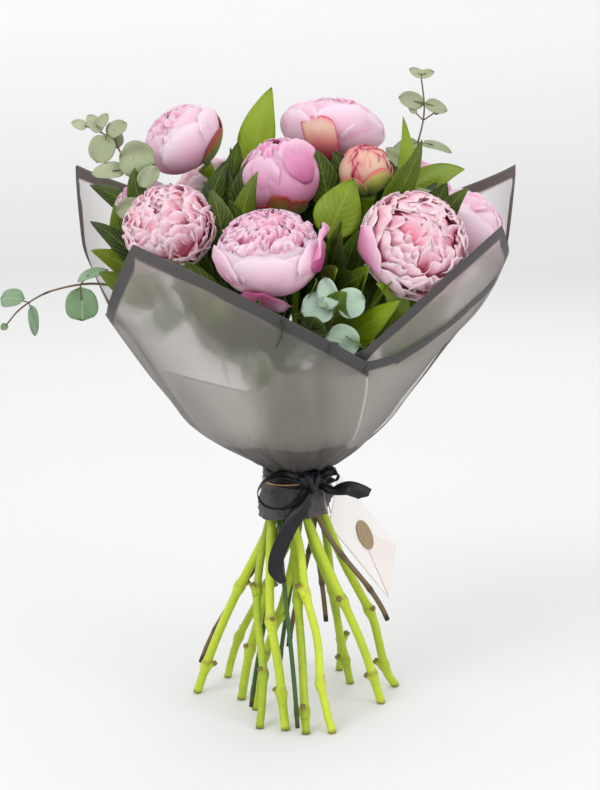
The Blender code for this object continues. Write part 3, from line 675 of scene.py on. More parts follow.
class BloomForm(Enum):
    """How far a peony has opened."""
    OPEN = (
        Ring(5, 96, 0.88, 1.00, 0.05, 0.020, 0.022, 0.02, 10, 78, 0.86, 5, fresh=0.55),
        Ring(5, 79, 0.72, 1.00, 0.06, 0.030, 0.030, 0.06, 44, 74, 0.82, 6, fresh=0.4),
        *nest((67, 58, 49, 41, 33, 25, 17, 9, 2), (8, 9, 9, 9, 8, 7, 6, 4, 3), 0.50, shell=0.975,
              flare=0.08, ruffle=0.075, notch=0.055, span=46, claw=0.72, scatter=8.0, fresh=0.06),
    )
    CUP = (
        Ring(5, 62, 0.92, 1.00, 0.03, 0.014, 0.018, 0.00, 20, 112, 0.90, 3, fresh=0.5),
        Ring(5, 53, 0.80, 0.985, 0.03, 0.018, 0.022, 0.05, 56, 110, 0.90, 3, fresh=0.45),
        Ring(6, 47, 0.60, 0.965, 0.04, 0.026, 0.030, 0.10, 8, 90, 0.86, 3, fresh=0.3),
        *nest((42, 37, 32, 27, 22, 16, 10, 4), (13, 14, 13, 12, 10, 8, 6, 3), 0.27, shell=0.97, flare=0.09,
              ruffle=0.085, notch=0.060, span=34, claw=0.66, scatter=5.0),
    )
    BALL = (
        Ring(4, 52, 0.80, 1.00, 0.04, 0.020, 0.030, 0.02, 0, 120, 0.90, 5, fresh=0.45),
        Ring(4, 38, 0.78, 0.985, 0.04, 0.024, 0.034, 0.08, 40, 128, 0.90, 5, fresh=0.4),
        Ring(5, 29, 0.62, 0.970, 0.05, 0.034, 0.044, 0.15, 12, 120, 0.88, 4, fresh=0.25),
        *nest((24, 18, 13, 8, 3), (8, 8, 7, 6, 4), 0.38, shell=0.95, flare=0.06, ruffle=0.075, notch=0.060,
              span=56, claw=0.70, scatter=4.0),
    )
    SMOOTH = (
        Ring(3, 62, 0.84, 1.00, 0.05, 0.022, 0.030, 0.00, 0, 110, 0.90, 5, fresh=0.5),
        Ring(4, 42, 0.84, 0.985, 0.05, 0.024, 0.034, 0.06, 46, 124, 0.90, 5, fresh=0.42),
        Ring(4, 28, 0.78, 0.970, 0.05, 0.028, 0.036, 0.10, 12, 130, 0.90, 4, fresh=0.34),
        Ring(5, 18, 0.60, 0.955, 0.05, 0.034, 0.040, 0.18, 30, 130, 0.90, 4, fresh=0.2),
        *nest((12, 7, 2), (6, 5, 4), 0.40, shell=0.95, flare=0.05, ruffle=0.060, notch=0.050,
              span=70, claw=0.76, scatter=4.0),
    )
    BUD = (
        Ring(4, 30, 0.72, 1.00, 0.01, 0.020, 0.040, 0.00, 0, 136, 0.90, 4, fresh=0.5),
        Ring(5, 20, 0.56, 0.985, 0.02, 0.034, 0.060, 0.10, 34, 140, 0.90, 4, fresh=0.4),
        Ring(6, 12, 0.44, 0.970, 0.02, 0.050, 0.080, 0.25, 12, 140, 0.88, 4, fresh=0.2),
        Ring(5, 5, 0.34, 0.960, 0.03, 0.060, 0.090, 0.45, 20, 120, 0.86, 4),
    )


@dataclass(frozen=True)
class Loose:
    """A single petal that stands off its bloom: its direction, lip, half width and stand-off."""
    around: float
    tip: float
    width: float
    lift: float = 0.05
    flare: float = 0.06
    tone: float = 0.1
    span: float = 95.0
    fresh: float = 0.45


@dataclass(frozen=True)
class Sepal:
    """A sepal at a bloom's foot: its direction in degrees, how far up it reaches, its half width."""
    around: float
    reach: float
    width: float
    tone: float = 0.5


class PetalMaker:
    """Bends blades into petals on the shell of one bloom."""

    def __init__(self, width: float, height: float, rng: np.random.Generator) -> None:
        """Take the bloom's size."""
        self.scale = np.array([width / 2, width / 2, height / 2])
        self.rng = rng

    def petal(self, blade: Blade, ring: Ring, azimuth: float, lift: float = 0.0) -> np.ndarray:
        """Bend one petal.

        Args:
            blade: The flat stock.
            ring: The ring of petals that it belongs to.
            azimuth: Its direction around the bloom, in radians.
            lift: How far it stands off the shell, a share of the radius.

        Returns:
            The petal's points about the bloom's centre, with the bloom's top along +Z.
        """
        rng = self.rng
        u, v = blade.u, blade.v
        tip = math.radians(max(0.0, ring.tip + rng.normal(0, ring.scatter)))
        phase = rng.uniform(0, 2 * np.pi, 7)
        wobble = (np.sin(2.4 * u + phase[0]) + 0.7 * np.sin(5.3 * u + phase[1])
                  + 0.55 * np.sin(11.0 * u + phase[2]) + 0.35 * np.sin(19.0 * u + phase[6])) / 1.6
        cleft = np.exp(-((u - rng.uniform(-0.4, 0.4)) / 0.09) ** 2) * rng.uniform(0.0, 2.2)
        lip = tip + 0.62 * ring.width * np.abs(u) ** 2.8 + ring.notch * (wobble + cleft)
        foot = min(math.radians(168), tip + math.radians(ring.span))
        level = foot + (lip - foot) * v
        turn = azimuth + rng.normal(0, 0.16 + 0.045 * max(0.0, ring.scatter - 4.0)) * (v - 0.6)
        spread = ring.width * (0.34 + 0.66 * np.sin(np.pi / 2 * np.minimum(1.0, v / 0.66)))
        centre = np.stack([np.sin(level) * np.cos(turn), np.sin(level) * np.sin(turn), np.cos(level)], axis=1)
        side = np.stack([-np.sin(turn), np.cos(turn), np.zeros_like(turn)], axis=1)
        direction = unit(centre + side * np.tan(u * spread)[:, None])
        rise = ease(v, 0.55, 1.0)
        curl = rng.uniform(0.3, 1.5) * ring.flare * rise**2
        edge = ring.ruffle * np.abs(u) ** 2 * np.sin(5.5 * v + phase[3]) * rng.uniform(0.4, 1.2)
        folds = ring.ruffle * rise * (0.9 * np.sin(2.6 * u + phase[4]) + 0.55 * np.sin(6.5 * u + phase[5])
                                      + 0.34 * np.sin(14.0 * u + 2 * phase[6]))
        cup = -0.10 * ring.width * np.abs(u) ** 2 * (1 - rise)
        radius = ring.shell * (1 + lift * ease(v, 0.1, 0.7) + curl + edge + folds + cup)
        radius = radius * (ring.claw + (1 - ring.claw) * ease(v, 0.0, 0.75))
        radius = np.minimum(radius, 1.10 + 1.5 * max(0.0, ring.flare - 0.10))
        return direction * radius[:, None] * self.scale


@dataclass
class Bloom:
    """A flower head with all its petals, its sepals and the core that they close over."""
    node: str
    facing: Point
    width: float
    height: float
    form: BloomForm
    finish: str
    seed: int
    spin: float = 0.0
    sepals: tuple[Sepal, ...] = ()
    loose: tuple[Loose, ...] = ()
    sepal_finish: str = "sepal"
    shrink: float = 0.97

    BROAD = 0.5          # petals wider than this are bent from the broad stock
    CORE = 0.80          # the core's share of the bloom's size

    def centre(self) -> np.ndarray:
        """The centre of the CAD bloom, about the bunch's axis."""
        low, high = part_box(self.node)
        return np.array((low + high) / 2) - AXIS

    def build(self, stock: dict[str, Blade], finishes: dict[str, bpy.types.Material]) -> None:
        """Bend, gather and dress the petals, then the sepals."""
        rng = np.random.default_rng(self.seed)
        maker = PetalMaker(self.width * self.shrink, self.height * self.shrink, rng)
        turn, centre = axes_for(self.facing), self.centre()
        cluster = Cluster(f"{self.node}_petals")
        self.add_core(cluster, turn, centre)
        for ring in self.form.value:
            blade = stock["broad" if ring.width > self.BROAD else "narrow"]
            for k in range(ring.count):
                around = 2 * np.pi * (k + rng.uniform(-0.22, 0.22)) / ring.count
                inner = ring.width <= self.BROAD
                lift = rng.uniform(-0.02, 0.05) if inner else 0.010 * (k % 2)
                cut = replace(ring, width=ring.width * rng.uniform(0.72, 1.25)) if inner else ring
                points = maker.petal(blade, cut, math.radians(ring.turn + self.spin) + around, lift)
                tone = float(np.clip(ring.tone + rng.normal(0, 0.16), -0.2, 1))
                cluster.blade(blade, points @ turn + centre, tone, ring.fresh)
        for petal in self.loose:
            ring = Ring(1, petal.tip, petal.width, 1.0, petal.flare, 0.030, 0.030, petal.tone, 0,
                        petal.span, 0.86, 0.0)
            points = maker.petal(stock["broad"], ring, math.radians(petal.around), petal.lift)
            cluster.blade(stock["broad"], points @ turn + centre, petal.tone, petal.fresh)
        piece = cluster.build(thickness=PETAL_WALL)
        hand_over(piece, "petal", finishes[self.finish], self.node)
        if self.sepals:
            self.add_sepals(stock["broad"], maker, turn, centre, finishes[self.sepal_finish])

    def add_core(self, cluster: Cluster, turn: np.ndarray, centre: np.ndarray) -> None:
        """A closed inner ball, so that no gap between petals looks empty."""
        count = 14
        levels = np.linspace(0, np.pi, count)
        route = np.stack([np.zeros(count), np.zeros(count), -np.cos(levels)], axis=1)
        route[:, 2] *= self.height / 2 * self.CORE
        radii = np.maximum(np.sin(levels), 0.02) * self.width / 2 * self.CORE
        grown = np.tile([0.12, 0.0, 0.15], (count, 1))
        before = len(cluster.points)
        cluster.tube(route, radii, 24, grown)
        cluster.points[before] = cluster.points[before] @ turn + centre

    def add_sepals(self, blade: Blade, maker: PetalMaker, turn: np.ndarray, centre: np.ndarray,
                   material: bpy.types.Material) -> None:
        """The rounded sepals that clasp the foot of the bloom."""
        cluster = Cluster(f"{self.node}_sepals")
        for sepal in self.sepals:
            ring = Ring(1, 180 - sepal.reach, sepal.width, 1.05, 0.02, 0.014, 0.02, span=80, claw=0.96)
            points = maker.petal(blade, ring, math.radians(sepal.around))
            cluster.blade(blade, points @ turn + centre, sepal.tone)
        hand_over(cluster.build(thickness=SEPAL_WALL), "leaf", material)


@dataclass(frozen=True)
class GuardPetal:
    """A guard petal that stands clear of its bloom, where its CAD blade lies."""
    node: str
    bloom: str
    long: float
    width: float
    flare: float
    tone: float
    ruffle: float = 0.03
    fresh: float = 0.3

    def build(self, bloom: Bloom, blade: Blade, seed: int) -> bpy.types.Object:
        """Bend the petal over the same place of the bloom's shell as its CAD blade."""
        low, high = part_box(self.node)
        turn = axes_for(bloom.facing)
        off = turn @ (np.array((low + high) / 2) - AXIS - bloom.centre())
        off = unit(off / np.array([bloom.width, bloom.width, bloom.height]))
        level = math.degrees(math.acos(float(off[2])))
        ring = Ring(1, max(2.0, level - self.long / 2), self.width, 1.07, self.flare, self.ruffle, 0.035,
                    span=self.long, claw=0.985, scatter=0.0)
        maker = PetalMaker(bloom.width, bloom.height, np.random.default_rng(seed))
        points = maker.petal(blade, ring, math.atan2(float(off[1]), float(off[0])), 0.01)
        cluster = Cluster(f"{self.node}_blade")
        cluster.blade(blade, points @ turn + bloom.centre(), self.tone, self.fresh)
        return cluster.build(thickness=GUARD_WALL)


# ---------------------------------------------------------------- stems
@dataclass(frozen=True)
class Tie:
    """A ring of stems in the tied waist: its radius there and how strongly it spirals."""
    radius: float
    slope: float


OUTER = Tie(0.0174, 0.43)
INNER = Tie(0.0087, 0.25)
MIDDLE = Tie(0.0, 0.0)
STRAIGHT = 0.036


@dataclass(frozen=True)
class StemPath:
    """A stem's place in the tie, its foot, and its upper route where no bloom sets it."""
    tie: Tie
    slot: float
    foot: tuple[float, float, float]
    upper: tuple[Point, ...] = ()

    def ring_point(self, height: float, reach: float) -> np.ndarray:
        """A point of the straight stretch where the stems lean past each other."""
        angle = math.radians(self.slot + 90)
        outward = np.array([math.cos(angle), math.sin(angle), 0.0])
        along = np.array([-math.sin(angle), math.cos(angle), 0.0])
        rise = height - WAIST_Z
        return outward * (self.tie.radius + reach) - along * self.tie.slope * rise + np.array([0, 0, height])

    def route(self, thickness: float, top: np.ndarray | None = None,
              facing: np.ndarray | None = None) -> np.ndarray:
        """The centre line from foot to top.

        Args:
            thickness: The stem's diameter.
            top: Where the bloom sits, if it bears one.
            facing: The bloom's direction.

        Returns:
            The points of the line.
        """
        slack = (PEONY_STEM - thickness) / 2
        reach = slack if self.tie is OUTER else -slack
        low, high = self.ring_point(WAIST_Z - STRAIGHT, reach), self.ring_point(WAIST_Z + STRAIGHT, reach)
        lean = unit(high - low)
        azimuth = math.radians(self.foot[0])
        foot = np.array([math.cos(azimuth) * self.foot[1], math.sin(azimuth) * self.foot[1], self.foot[2]])
        drop = np.linalg.norm(foot - low)
        upright = unit(unit(low - foot) + np.array([0, 0, 0.6]))
        lower = [hermite(foot, upright * drop, low, lean * drop, k / 12) for k in range(12)] + [low]
        if top is not None:
            above, last = [high, top], facing * np.linalg.norm(top - high)
        else:
            above = [high] + [np.array(point) for point in self.upper]
            last = above[-1] - above[-2]
        rise = np.linalg.norm(above[1] - above[0])
        upper = smooth_route(above, lean * rise, last, 16 if top is not None else 6)
        return np.concatenate([np.array(lower), upper])


PEONY_PATHS = {
    "bloom_right_back": StemPath(OUTER, 10, (168, 0.0920, 0.0)),
    "bloom_back_right": StemPath(OUTER, 40, (245, 0.0760, 0.0)),
    "bloom_back_mid": StemPath(OUTER, 70, (262, 0.0740, 0.0)),
    "bloom_back_left": StemPath(OUTER, 130, (290, 0.0850, 0.0)),
    "bloom_left_side": StemPath(OUTER, 160, (354, 0.0740, 0.0)),
    "bloom_open_left": StemPath(OUTER, 220, (22, 0.0950, 0.0)),
    "bloom_cup": StemPath(OUTER, 250, (64, 0.0880, 0.0)),
    "bloom_open_right": StemPath(OUTER, 310, (137, 0.0880, 0.0)),
    "bloom_bud": StemPath(INNER, 350, (178, 0.0500, 0.0)),
    "bloom_pale_top": StemPath(INNER, 110, (275, 0.0820, 0.0)),
    "bloom_ball": StemPath(INNER, 170, (42, 0.0640, 0.0)),
    "bloom_opening": StemPath(MIDDLE, 0, (213, 0.0440, 0.0)),
}

SPRIG_PATHS = {
    "sprig_top_left": StemPath(OUTER, 190, (2, 0.0790, 0.073), (
        (-0.072, 0.000, 0.340), (-0.125, -0.010, 0.435), (-0.143, -0.002, 0.472),
        (-0.156, 0.000, 0.493), (-0.175, 0.000, 0.503))),
    "sprig_top_right": StemPath(OUTER, 340, (157, 0.0950, 0.022), (
        (0.052, -0.006, 0.362), (0.083, 0.030, 0.440), (0.099, 0.037, 0.476),
        (0.108, 0.040, 0.512), (0.105, 0.040, 0.545))),
    "sprig_trailing": StemPath(INNER, 230, (58, 0.0480, 0.060), (
        (-0.060, -0.019, 0.322), (-0.120, -0.028, 0.362), (-0.165, -0.030, 0.375),
        (-0.205, -0.030, 0.369), (-0.230, -0.030, 0.355), (-0.242, -0.030, 0.342))),
    "sprig_front": StemPath(OUTER, 280, (98, 0.0600, 0.030), (
        (0.016, -0.060, 0.300), (0.020, -0.090, 0.332), (0.026, -0.104, 0.352),
        (0.030, -0.110, 0.368))),
}

FOLIAGE_PATHS = {
    "foliage_back": StemPath(OUTER, 100, (270, 0.0900, 0.008), (
        (-0.018, 0.050, 0.330), (-0.030, 0.054, 0.400), (-0.035, 0.052, 0.450))),
    "foliage_front": StemPath(INNER, 290, (112, 0.0450, 0.012), (
        (0.014, -0.026, 0.330), (0.020, -0.038, 0.380), (0.022, -0.042, 0.405))),
    "foliage_right": StemPath(INNER, 50, (228, 0.0600, 0.010), (
        (0.044, 0.024, 0.340), (0.072, 0.042, 0.410), (0.083, 0.045, 0.445))),
}


class StemMaker:
    """Thickens a centre line into a stem with joints, kinks, cut leaf stalks and a cut foot."""

    def __init__(self, seed: int) -> None:
        """Seed the stem's own accidents."""
        self.rng = np.random.default_rng(seed)

    def peony(self, cluster: Cluster, route: np.ndarray) -> None:
        """A peony stem with its joints below the tie, and the calyx cup on top."""
        rng = self.rng
        line = resample(route, 120)
        heights = line[:, 2]
        joints = [rng.uniform(0.016, 0.050), rng.uniform(0.075, 0.130), rng.uniform(0.26, 0.31)]
        line = self.kinked(line, joints)
        radii = np.full(len(line), PEONY_STEM / 2 * rng.uniform(0.84, 0.98))
        scar = 0.8 * np.exp(-(heights / 0.0012) ** 2)
        for joint in joints:
            radii *= 1 + 0.42 * np.exp(-((heights - joint) / 0.0045) ** 2)
            scar += np.exp(-((heights - joint - 0.003) / 0.0016) ** 2) * rng.uniform(0.2, 0.9)
        radii[-7:] *= np.array([1.0, 1.02, 1.1, 1.3, 1.6, 1.9, 2.1])
        # Painted shade: darker from 0.13 m up, under the film skirt and inside the wrap; the random part is
        # the stem's own darkness.
        painted_wrap_shade_and_tone = 0.45 * ease(heights, 0.13, 0.20) + rng.uniform(0, 0.20)
        tone = rng.uniform(-0.25, 0.45)
        ribs = np.stack([scar, painted_wrap_shade_and_tone, np.full(len(line), tone)], axis=1)
        cluster.tube(line, radii, 14, ribs)
        for joint in joints[:2]:
            self.stub(cluster, line, joint, tone)

    def kinked(self, line: np.ndarray, joints: list[float]) -> np.ndarray:
        """Bend the line a little at each joint, as such stems do."""
        rng = self.rng
        bent = line.copy()
        fade = ease(line[:, 2], 0.165, 0.125)
        for joint in joints[:2]:
            sway = np.maximum(0.0, 1 - np.abs(line[:, 2] - joint) / 0.042)
            push = np.array([rng.normal(), rng.normal(), 0.0]) * 0.0021
            bent += np.outer(sway * fade * ease(line[:, 2], 0.0, 0.012), push)
        return bent

    def stub(self, cluster: Cluster, line: np.ndarray, joint: float, tone: float) -> None:
        """The short cut stalk of a leaf that was stripped from a joint."""
        rng = self.rng
        i = int(np.argmin(np.abs(line[:, 2] - joint)))
        climb = unit(line[i + 1] - line[i - 1])
        if climb[2] < 0:
            climb = -climb
        side = unit(np.cross(climb, rng.normal(size=3)))
        length = rng.uniform(0.006, 0.012)
        steps = np.linspace(0, 1, 7)[:, None]
        route = line[i] - climb * 0.003 + side * 0.0012 + (side * 0.62 + climb * 0.90) * length * steps
        radii = np.array([0.0038, 0.0034, 0.0029, 0.0026, 0.0026, 0.0028, 0.0026]) * rng.uniform(0.85, 1.1)
        scar = np.array([0.0, 0.0, 0.0, 0.0, 0.2, 0.8, 1.3])
        cluster.tube(route, radii, 10, np.stack([scar, np.full(7, 0.05), np.full(7, tone)], axis=1))

    def twig(self, cluster: Cluster, route: np.ndarray, thickness: float, taper: float,
             joints: int = 7, points: int = 120) -> np.ndarray:
        """A thin stem that tapers to its tip, with small joints; returns its centre line."""
        rng = self.rng
        line = resample(route, points)
        share = np.linspace(0, 1, points)
        radii = thickness / 2 * (1 - (1 - taper) * ease(share, 0.45, 1.0))
        scar = np.zeros(points)
        for joint in np.linspace(0.05, 0.9, joints) + rng.normal(0, 0.02, joints):
            near = np.exp(-((share - joint) / 0.006) ** 2)
            radii = radii * (1 + 0.28 * near)
            scar += near * 0.8
        scar[:2] = 1.0
        painted_wrap_shade_and_tone = np.zeros(points)
        tone = np.full(points, rng.uniform(0.1, 0.6))
        cluster.tube(line, radii, 10, np.stack([scar, painted_wrap_shade_and_tone, tone], axis=1))
        return line


# ---------------------------------------------------------------- leaves
@dataclass(frozen=True)
class Leaf:
    """A lance leaf: start, bend, tip, width, tone (how far it is painted from shade towards sunlight), and
    how it folds and faces.
    """
    start: Point
    bend: Point
    tip: Point
    width: float
    tone: float = 0.3
    fold: float = 0.35
    face: Point = (0.0, -1.0, 0.5)
    stalk: float = 0.18


class LeafMaker:
    """Bends blades into leaves."""

    def __init__(self, blade: Blade, seed: int) -> None:
        """Take the stock and a seed for ripples."""
        self.blade = blade
        self.rng = np.random.default_rng(seed)

    def lance(self, leaf: Leaf) -> np.ndarray:
        """A lance-shaped leaf with a stalk, a fold along its midrib and rippled sides."""
        rng, u, v = self.rng, self.blade.u, self.blade.v
        start, bend, tip = (np.array(p) for p in (leaf.start, leaf.bend, leaf.tip))
        t = v[:, None]
        middle = bowed(start, bend, tip, t)
        run = unit((bend - start) * (1 - t) + (tip - bend) * t)
        side = unit(np.cross(run, np.array(leaf.face)))
        up = np.cross(side, run)
        grown = np.clip((v - leaf.stalk) / (1 - leaf.stalk), 0, 1)
        outline = np.sin(np.pi * grown**0.80) ** 0.80 * (1 - 0.12 * grown)
        half = np.maximum(0.0008 * (1 - v) + 0.0002, leaf.width / 2 * outline)
        ripple = 0.05 * leaf.width * np.sin(9 * v + rng.uniform(0, 6)) * np.abs(u) ** 2
        drop = -leaf.fold * half * np.abs(u) ** 1.3 + 0.22 * half * u**2
        return middle + side * (u * half)[:, None] + up * (drop + ripple)[:, None]

    def coin(self, centre: np.ndarray, coin: Coin) -> np.ndarray:
        """A rounded eucalyptus leaf that grows outwards along its own stalk."""
        u, v = self.blade.u, self.blade.v
        run = np.array(coin.offset)
        face = unit(np.array(coin.facing))
        along = unit(run - face * np.dot(run, face))
        side = np.cross(along, face)
        grown = v * 2 - 1
        long = coin.width * coin.long
        outline = np.sqrt(np.clip(1 - np.abs(grown) ** (2.4 - 0.6 * coin.point), 0.0, 1))
        outline = outline * (1 - coin.point * 0.45 * grown)
        half = np.maximum(0.0005, coin.width / 2 * outline)
        sway = self.rng.uniform(0.5, 1.2)
        cup = 0.12 * coin.width * sway * (u**2 * outline) - coin.bend * long * 0.5 * (v**2)
        cup = cup + 0.05 * coin.width * np.sin(4 * u + 2.4 * grown + self.rng.uniform(0, 6.28))
        flat = side * (u * half)[:, None] + along * (grown * long / 2)[:, None]
        return centre + flat + face * cup[:, None]


@dataclass(frozen=True)
class Coin:
    """A rounded leaf of a sprig.

    share is how far along the sprig it grows, offset from there to its middle, long its length
    over its width, point how pointed it ends and bend how far it droops.
    """
    share: float
    offset: Point
    facing: Point
    width: float
    # tone: how far the leaf is painted from shade towards sunlight.
    tone: float = 0.4
    long: float = 1.0
    point: float = 0.15
    bend: float = 0.10


# ---------------------------------------------------------------- film
WRAP_PROFILE = ((0.165, 0.0312), (0.182, 0.0272), (0.196, 0.0249), (0.206, 0.0245), (0.217, 0.0256),
                (0.228, 0.0400), (0.242, 0.0660), (0.258, 0.0900), (0.300, 0.1240), (0.350, 0.1580),
                (0.400, 0.1790), (0.470, 0.1920))
FRONT_FLATTENING = 0.84
BACK_FLATTENING = 0.95


def profile_radius(height: np.ndarray) -> np.ndarray:
    """The wrap's radius at a height, rounded between the stations of its profile."""
    stations = np.array(WRAP_PROFILE)
    total = np.zeros_like(height)
    for shift in (-0.006, -0.003, 0.0, 0.003, 0.006):
        scale = ease(np.abs(height - 0.206), 0.008, 0.03)
        total = total + np.interp(height + shift * scale, stations[:, 0], stations[:, 1])
    return total / 5


@dataclass(frozen=True)
class FilmSheet:
    """A layer of film: its top edge by direction in degrees, how far out it lies, and its borders."""
    edge: tuple[tuple[float, float], ...]
    layer: float
    seed: int
    lean: float = 0.0
    borders: tuple[bool, bool, bool] = (False, True, True)
    fade: tuple[float, float] = (-900.0, -899.0)
    skirt: float = 0.170
    straight: bool = True

    BAND = 0.0115
    SLANT = (0.0, 0.98, -0.19)
    NARROW = 15          # stretches under this many degrees keep their plain slope
    HALVINGS = 26

    def edge_height(self, azimuth: np.ndarray) -> np.ndarray:
        """The height of the top edge, whose stretches are straight cuts between its corners."""
        stations = np.array(self.edge)
        heights = np.interp(azimuth, stations[:, 0], stations[:, 1])
        if not self.straight:
            return heights
        for (a, low), (b, high) in zip(self.edge, self.edge[1:]):
            if b - a < self.NARROW:
                continue
            corners = self.smooth_points(np.array([a, b]), np.array([low, high]))
            normal = np.cross(corners[1] - corners[0], np.array(self.SLANT))
            normal = normal * np.sign(normal[2])
            below, above = np.full_like(azimuth, 0.19), np.full_like(azimuth, 0.52)
            for _ in range(self.HALVINGS):
                middle = (below + above) / 2
                over = (self.smooth_points(azimuth, middle) - corners[0]) @ normal > 0
                above = np.where(over, middle, above)
                below = np.where(over, below, middle)
            heights = np.where((azimuth >= a) & (azimuth <= b), (below + above) / 2, heights)
        return heights

    def offset(self, height: np.ndarray) -> np.ndarray:
        """How far the layer lies outside the innermost one."""
        return 0.0003 + self.layer * (0.0009 + 0.0018 * np.clip((height - 0.215) / 0.04, 0, 1))

    def smooth_points(self, azimuth: np.ndarray, height: np.ndarray,
                      folds: np.ndarray | float = 0.0) -> np.ndarray:
        """Points of the sheet's surface, with the folds given."""
        step = 0.002
        angle = np.radians(azimuth)
        radius = profile_radius(height)
        pull = 0.019 * ease(height, 0.222, 0.262) * (0.22 + 0.78 * ease(height, 0.38, 0.30))
        radius = radius - pull * np.maximum(0, np.cos(angle)) * (1.0 if self.layer else 0.5)
        slope = (profile_radius(height + step) - profile_radius(height - step)) / (2 * step)
        steep = np.hypot(1, slope)
        opening = np.clip((height - 0.215) / 0.10, 0, 1)
        flattening = np.where(np.sin(angle) < 0, FRONT_FLATTENING, BACK_FLATTENING)
        depth = 1 - (1 - flattening) * opening * np.abs(np.sin(angle))
        off = self.offset(height) + folds
        reach = radius * depth + off / steep
        return polar(angle, reach, height - off * slope / steep)

    def folds(self, azimuth: np.ndarray, height: np.ndarray) -> np.ndarray:
        """Pleats that run up from the tie and crumples in the skirt below it."""
        angle = np.radians(azimuth)
        phase = np.random.default_rng(self.seed).uniform(0, 6.28, 8)
        loose = ease(np.abs(height - 0.2065), 0.005, 0.014)
        skirt = ease(height, 0.203, 0.190)
        above = ease(height, 0.213, 0.222) * ease(height, 0.285, 0.228)
        crumple = (np.abs(np.sin(6 * angle + 70 * height + phase[0])) ** 0.6 * 1.1
                   + 0.8 * np.abs(np.sin(11 * angle - 120 * height + phase[1]))
                   + 0.5 * np.abs(np.sin(19 * angle + 190 * height + phase[2])))
        pleat = (np.abs(np.sin(8.5 * angle + phase[3] + 24 * height)) ** 0.6
                 + 0.6 * np.abs(np.sin(15 * angle + phase[4] - 40 * height)))
        swell = 0.0016 * np.sin(2.6 * angle + phase[5]) * ease(height, 0.25, 0.34)
        return loose * (0.0020 * crumple * skirt + 0.0026 * pleat * above) + swell

    def add_to(self, cluster: Cluster, stock: Blade) -> None:
        """Bend the layer, mark its border and add it to a piece of film."""
        rows, columns = stock.shape
        first, last = self.edge[0][0], self.edge[-1][0]
        share_u, share_v = stock.u * 0.5 + 0.5, stock.v
        around = first + share_u * (last - first)
        top = self.edge_height(around)
        low = self.skirt + 0.012 - 0.011 * np.cos(np.radians(around - 235)) + 0.002 * np.sin(
            np.radians(around * 4 + 40 * self.seed))
        height = low + (top - low) * share_v
        azimuth = around + self.lean * share_u**6 * (top - height) / 0.1
        points = self.smooth_points(azimuth, height, self.folds(azimuth, height))
        order = np.lexsort((stock.u, stock.v))
        band = np.empty(len(points))
        band[order] = self.border(points[order].reshape(rows, columns, 3)).ravel()
        band = band * np.where(share_v > 0.8, ease(azimuth, *self.fade), 1.0)
        # Painted shade: the film is painted darker below its fold line and darkest in the gathered skirt; the
        # same mask also makes it glossier, creased and less clear.
        fold_line = (0.227 + 0.017 * np.clip(-points[:, 1] / 0.06, 0, 1)
                     + 0.0015 * np.sin(np.radians(around) * 9))
        gather = (0.75 * ease(points[:, 2] - fold_line, 0.0012, -0.0012)
                  + 0.25 * ease(points[:, 2], 0.226, 0.205))
        # Painted highlight: the free cut end of a sheet without a border there is painted lighter.
        rim = np.exp(-((1 - share_u) * (last - first) / 1.1) ** 2) * (1 - band) * float(not self.borders[2])
        growth = np.stack([band, gather, rim], axis=1)
        cluster.add(points, stock.faces, np.stack([share_u, share_v], axis=1), growth)

    def border(self, grid: np.ndarray) -> np.ndarray:
        """1 inside the printed border, 0 on the plain film."""
        down = np.linalg.norm(np.diff(grid, axis=0), axis=2)
        from_top = np.concatenate([np.cumsum(down[::-1], axis=0)[::-1], np.zeros((1, grid.shape[1]))])
        run = unit(np.gradient(grid[-1], axis=0))
        fall = unit(grid[-1] - grid[-2])
        from_top = from_top * np.linalg.norm(np.cross(run, fall), axis=1)[None, :]
        across = np.linalg.norm(np.diff(grid, axis=1), axis=2)
        zero = np.zeros((grid.shape[0], 1))
        from_first = np.concatenate([zero, np.cumsum(across, axis=1)], axis=1)
        from_last = np.concatenate([np.cumsum(across[:, ::-1], axis=1)[:, ::-1], zero], axis=1)
        nearest = np.full(grid.shape[:2], 1.0)
        for wanted, distance in zip(self.borders, (from_first, from_top, from_last)):
            if wanted:
                nearest = np.minimum(nearest, distance)
        return np.clip((self.BAND - nearest) / 0.0012 + 0.5, 0, 1)


@dataclass(frozen=True)
class FilmPiece:
    """A piece of film as it was cut, with the layers that it lies in."""
    node: str
    layers: tuple[FilmSheet, ...]
    finish: str
    flat: tuple[float, float]
    area: float
    rolled_lip: bool = False

    def build(self, stock: Blade, finishes: dict[str, bpy.types.Material]) -> None:
        cluster = Cluster(f"film_{self.node}")
        for layer in self.layers:
            layer.add_to(cluster, stock)
        if self.rolled_lip:
            self.add_lip(cluster)
        piece = cluster.build(thickness=FILM_WALL, offset=1.0)
        hand_over(piece, "film", finishes[self.finish], self.node)

    def add_lip(self, cluster: Cluster) -> None:
        """The printed edge that rolls back inwards where the front layer is folded over."""
        layer = self.layers[0]
        count, rows, first = 36, 5, 281.0
        share = np.linspace(0, 1, count)
        azimuth = first + (layer.edge[-1][0] - 0.6 - first) * share
        front = layer.smooth_points(azimuth, layer.edge_height(azimuth))
        inward = unit(front * np.array([-1.0, -1.0, 0.0]))
        bow = np.sin(np.pi * share) ** 0.8 * (0.35 + 0.65 * share)
        crest = front + inward * (0.030 * bow)[:, None] + np.array([0, 0, 1.0]) * (0.0045 * bow)[:, None]
        depth = np.linspace(0, 1, rows)
        points = np.concatenate([crest - np.array([0, 0, 0.012]) * d + inward * (0.002 * d) for d in depth])
        uv = np.stack([np.tile(share, rows), np.repeat(depth, count)], axis=1)
        growth = np.tile([1.0, 0.0, 0.0], (len(points), 1))
        cluster.add(points, quads(rows, count, closed=False), uv, growth)


